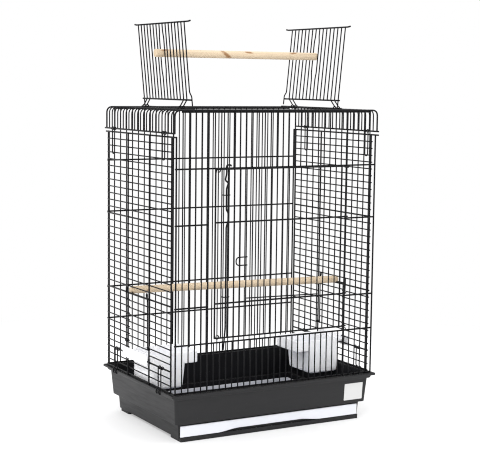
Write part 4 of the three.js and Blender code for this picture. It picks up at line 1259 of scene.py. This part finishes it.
def add_perch(node, body, colours, ys, knots, turn=0.0, tenon=0.0, inner=0.0):
    """A perch between two places along Y. It may have a thinner tenon of a given length at each end. Each
    knot has its x, how near the front it lies, its rise, its two half sizes and its slant."""
    low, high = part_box(node)
    radius, z = (high[2] - low[2]) / 2, (low[2] + high[2]) / 2
    start, end = (np.array([x, y, z]) for x, y in zip((low[0], high[0]), ys))
    total = np.linalg.norm(end - start)
    stretches = [(inner, total - inner, radius)]
    if tenon:
        stretches = [(0, inner, tenon), *stretches, (total - inner, total, tenon)]
    surface = turned(start, end, *rod_profile(stretches))
    placed = [
        ((knot["x"], start[1] - knot["near"] * radius, z + knot["rise"]), *knot["size"], knot["slant"])
        for knot in knots
    ]
    wood = wood_finish(f"{node}_wood", colours, turn, placed)
    add_piece(f"{node}_rod", surface, wood, body, "pale_wood", node)


class CAGE_OT_perches(Build, Operator):
    """Add the two wooden perches"""

    bl_idname = "cage.perches"
    bl_label = "Perches"

    def add(self, lay, colours):
        low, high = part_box("top_perch")
        middle = (low[1] + high[1]) / 2
        add_perch("top_perch", "perch", colours, (middle, middle), TOP_KNOTS)
        tenon = (lay.row_z(0) - lay.row_z(1) - lay.stout - lay.thin) / 2 - LOOSE
        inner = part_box("lower_perch")[1][0] - (lay.plane - lay.stout - 2 * LOOSE)
        add_perch("lower_perch", "cage", colours, LOW_SHIFTS, LOW_KNOTS, LOW_TURN, tenon, inner)


CAMERA = {
    "eye": Vector((-1286.2, -2283.5, 676.2)) * MM, "ahead": Vector((0.48771, 0.86508, -0.11737)),
    "roll": math.radians(0.66), "focal_pixels": 1305.7, "image_width": 480,
}
PIXEL_FILTER = 1.1
FLOOR_RINGS = (0.01, 0.5, 1.0, 2.0, 4.0, 9.0, 20.0)
FLOOR_SIDES = 48
FLOOR_WHITE = {"from": 0.35, "to": 1.2, "least": 0.35}
WORLD_LIGHT, WORLD_BACKDROP = 1.4, 1.0
LAMP_TARGET = Vector((0, 0, 0.4))
LAMPS = (
    {"name": "key", "place": Vector((-2.0, -2.2, 2.6)), "size": 2.2, "power": 42.0},
    {"name": "side", "place": Vector((2.6, -1.2, 1.6)), "size": 1.8, "power": 9.0},
    {"name": "top", "place": Vector((0.2, 0.4, 3.2)), "size": 2.6, "power": 20.0},
)


class CAGE_OT_stage(Build, Operator):
    """Add the floor, the lamps, the world and the camera"""

    bl_idname = "cage.stage"
    bl_label = "Stage"

    def execute(self, context):
        self.add_camera(context)
        self.add_floor(context)
        self.add_world(context)
        self.add_lamps()
        context.scene.view_settings.view_transform = "Standard"
        context.scene.cycles.filter_width = PIXEL_FILTER
        return {"FINISHED"}

    def add_camera(self, context):
        """The camera's axes: X turned by the roll from level, Z against the line of sight."""
        data = bpy.data.cameras.new("camera")
        data.lens = CAMERA["focal_pixels"] / CAMERA["image_width"] * data.sensor_width
        camera = linked("camera", data)
        ahead = CAMERA["ahead"].normalized()
        level = ahead.cross(Vector((0, 0, 1))).normalized()
        up = level.cross(ahead)
        cos, sin = math.cos(CAMERA["roll"]), math.sin(CAMERA["roll"])
        axes = (level * cos + up * sin, up * cos - level * sin, -ahead)
        camera.matrix_world = Matrix.Translation(CAMERA["eye"]) @ Matrix(axes).transposed().to_4x4()
        context.scene.camera = camera

    def add_floor(self, context):
        """A disc of rings, whose colour runs out into plain white away from the cage."""
        radius = np.array(FLOOR_RINGS)[:, None]
        turn = np.linspace(0, 2 * np.pi, FLOOR_SIDES, endpoint=False)[None, :]
        rings = np.stack(np.broadcast_arrays(radius * np.cos(turn), radius * np.sin(turn), 0 * radius), -1)
        faces = ring_faces(len(radius), FLOOR_SIDES)[:, ::-1], np.arange(FLOOR_SIDES)[None, :]
        floor = linked("floor", mesh_of("floor", (rings.reshape(-1, 3), faces)))
        finish = Finish("floor_paper", Roughness=0.7)
        paper = context.scene.cage_colours.floor
        finish.set(Base_Color=finish.vary(finish.noise(3.0), paper, 0.995, 1.0))
        distance = finish.vector("LENGTH", finish.place, output="Value")
        white = finish.node("ShaderNodeEmission", {}, {"Color": (1, 1, 1, 1), "Strength": 1.0})
        seen = finish.node("ShaderNodeLightPath", {}, {}, "Is Camera Ray")
        shader = Signal(finish, finish.shader.outputs[0])
        share = distance.between(FLOOR_WHITE["from"], FLOOR_WHITE["to"])
        far = share.reckon("MAXIMUM", share, FLOOR_WHITE["least"]) * seen
        blend = finish.node("ShaderNodeMixShader", {}, {0: far, 1: shader, 2: white})
        finish.fill(finish.tree.nodes["Material Output"], {"Surface": blend})
        floor.data.materials.append(finish.material)

    def add_world(self, context):
        """A white world: its light falls on the scene, and its backdrop is what the camera, reflections and
        clear parts see."""
        world = bpy.data.worlds.new("studio")
        world.use_nodes = True
        graph = Graph(world.node_tree)
        graph.tree.nodes.clear()
        reach = graph.node("ShaderNodeLightPath", {}, {}, "Is Camera Ray")
        for ray in ("Is Glossy Ray", "Is Transmission Ray"):
            reach = reach.reckon("MAXIMUM", reach, graph.node("ShaderNodeLightPath", {}, {}, ray))
        light, backdrop = (
            graph.node("ShaderNodeBackground", {}, {"Color": (1, 1, 1, 1), "Strength": strength})
            for strength in (WORLD_LIGHT, WORLD_BACKDROP)
        )
        mixed = graph.node("ShaderNodeMixShader", {}, {0: reach, 1: light, 2: backdrop})
        graph.fill(graph.tree.nodes.new("ShaderNodeOutputWorld"), {"Surface": mixed})
        context.scene.world = world

    def add_lamps(self):
        for setting in LAMPS:
            data = bpy.data.lights.new(setting["name"], "AREA")
            data.shape, data.size, data.energy = "SQUARE", setting["size"], setting["power"]
            lamp = linked(setting["name"], data)
            lamp.location = setting["place"]
            lamp.rotation_euler = (LAMP_TARGET - setting["place"]).to_track_quat("-Z", "Y").to_euler()


OPERATORS = (
    CAGE_OT_stage, CAGE_OT_base, CAGE_OT_panels, CAGE_OT_front_door, CAGE_OT_feeders, CAGE_OT_flaps,
    CAGE_OT_hooks, CAGE_OT_perches,
)


class CAGE_PT_sidebar(Panel):
    bl_idname = "CAGE_PT_sidebar"
    bl_label = "Bird Cage"
    bl_space_type = "VIEW_3D"
    bl_region_type = "UI"
    bl_category = "Cage"

    def draw(self, context):
        for group in (context.scene.cage_sizes, context.scene.cage_colours):
            for name in group.__annotations__:
                self.layout.prop(group, name)
        for operator in OPERATORS:
            self.layout.operator(operator.bl_idname)


CLASSES = (CageSizes, CageColours, *OPERATORS, CAGE_PT_sidebar)


def register():
    for cls in CLASSES:
        bpy.utils.register_class(cls)
    bpy.types.Scene.cage_sizes = PointerProperty(type=CageSizes)
    bpy.types.Scene.cage_colours = PointerProperty(type=CageColours)


def unregister():
    del bpy.types.Scene.cage_colours
    del bpy.types.Scene.cage_sizes
    for cls in reversed(CLASSES):
        bpy.utils.unregister_class(cls)


def main():
    register()
    for operator in OPERATORS:
        group, name = operator.bl_idname.split(".")
        getattr(getattr(bpy.ops, group), name)()


if __name__ == "__main__":
    main()
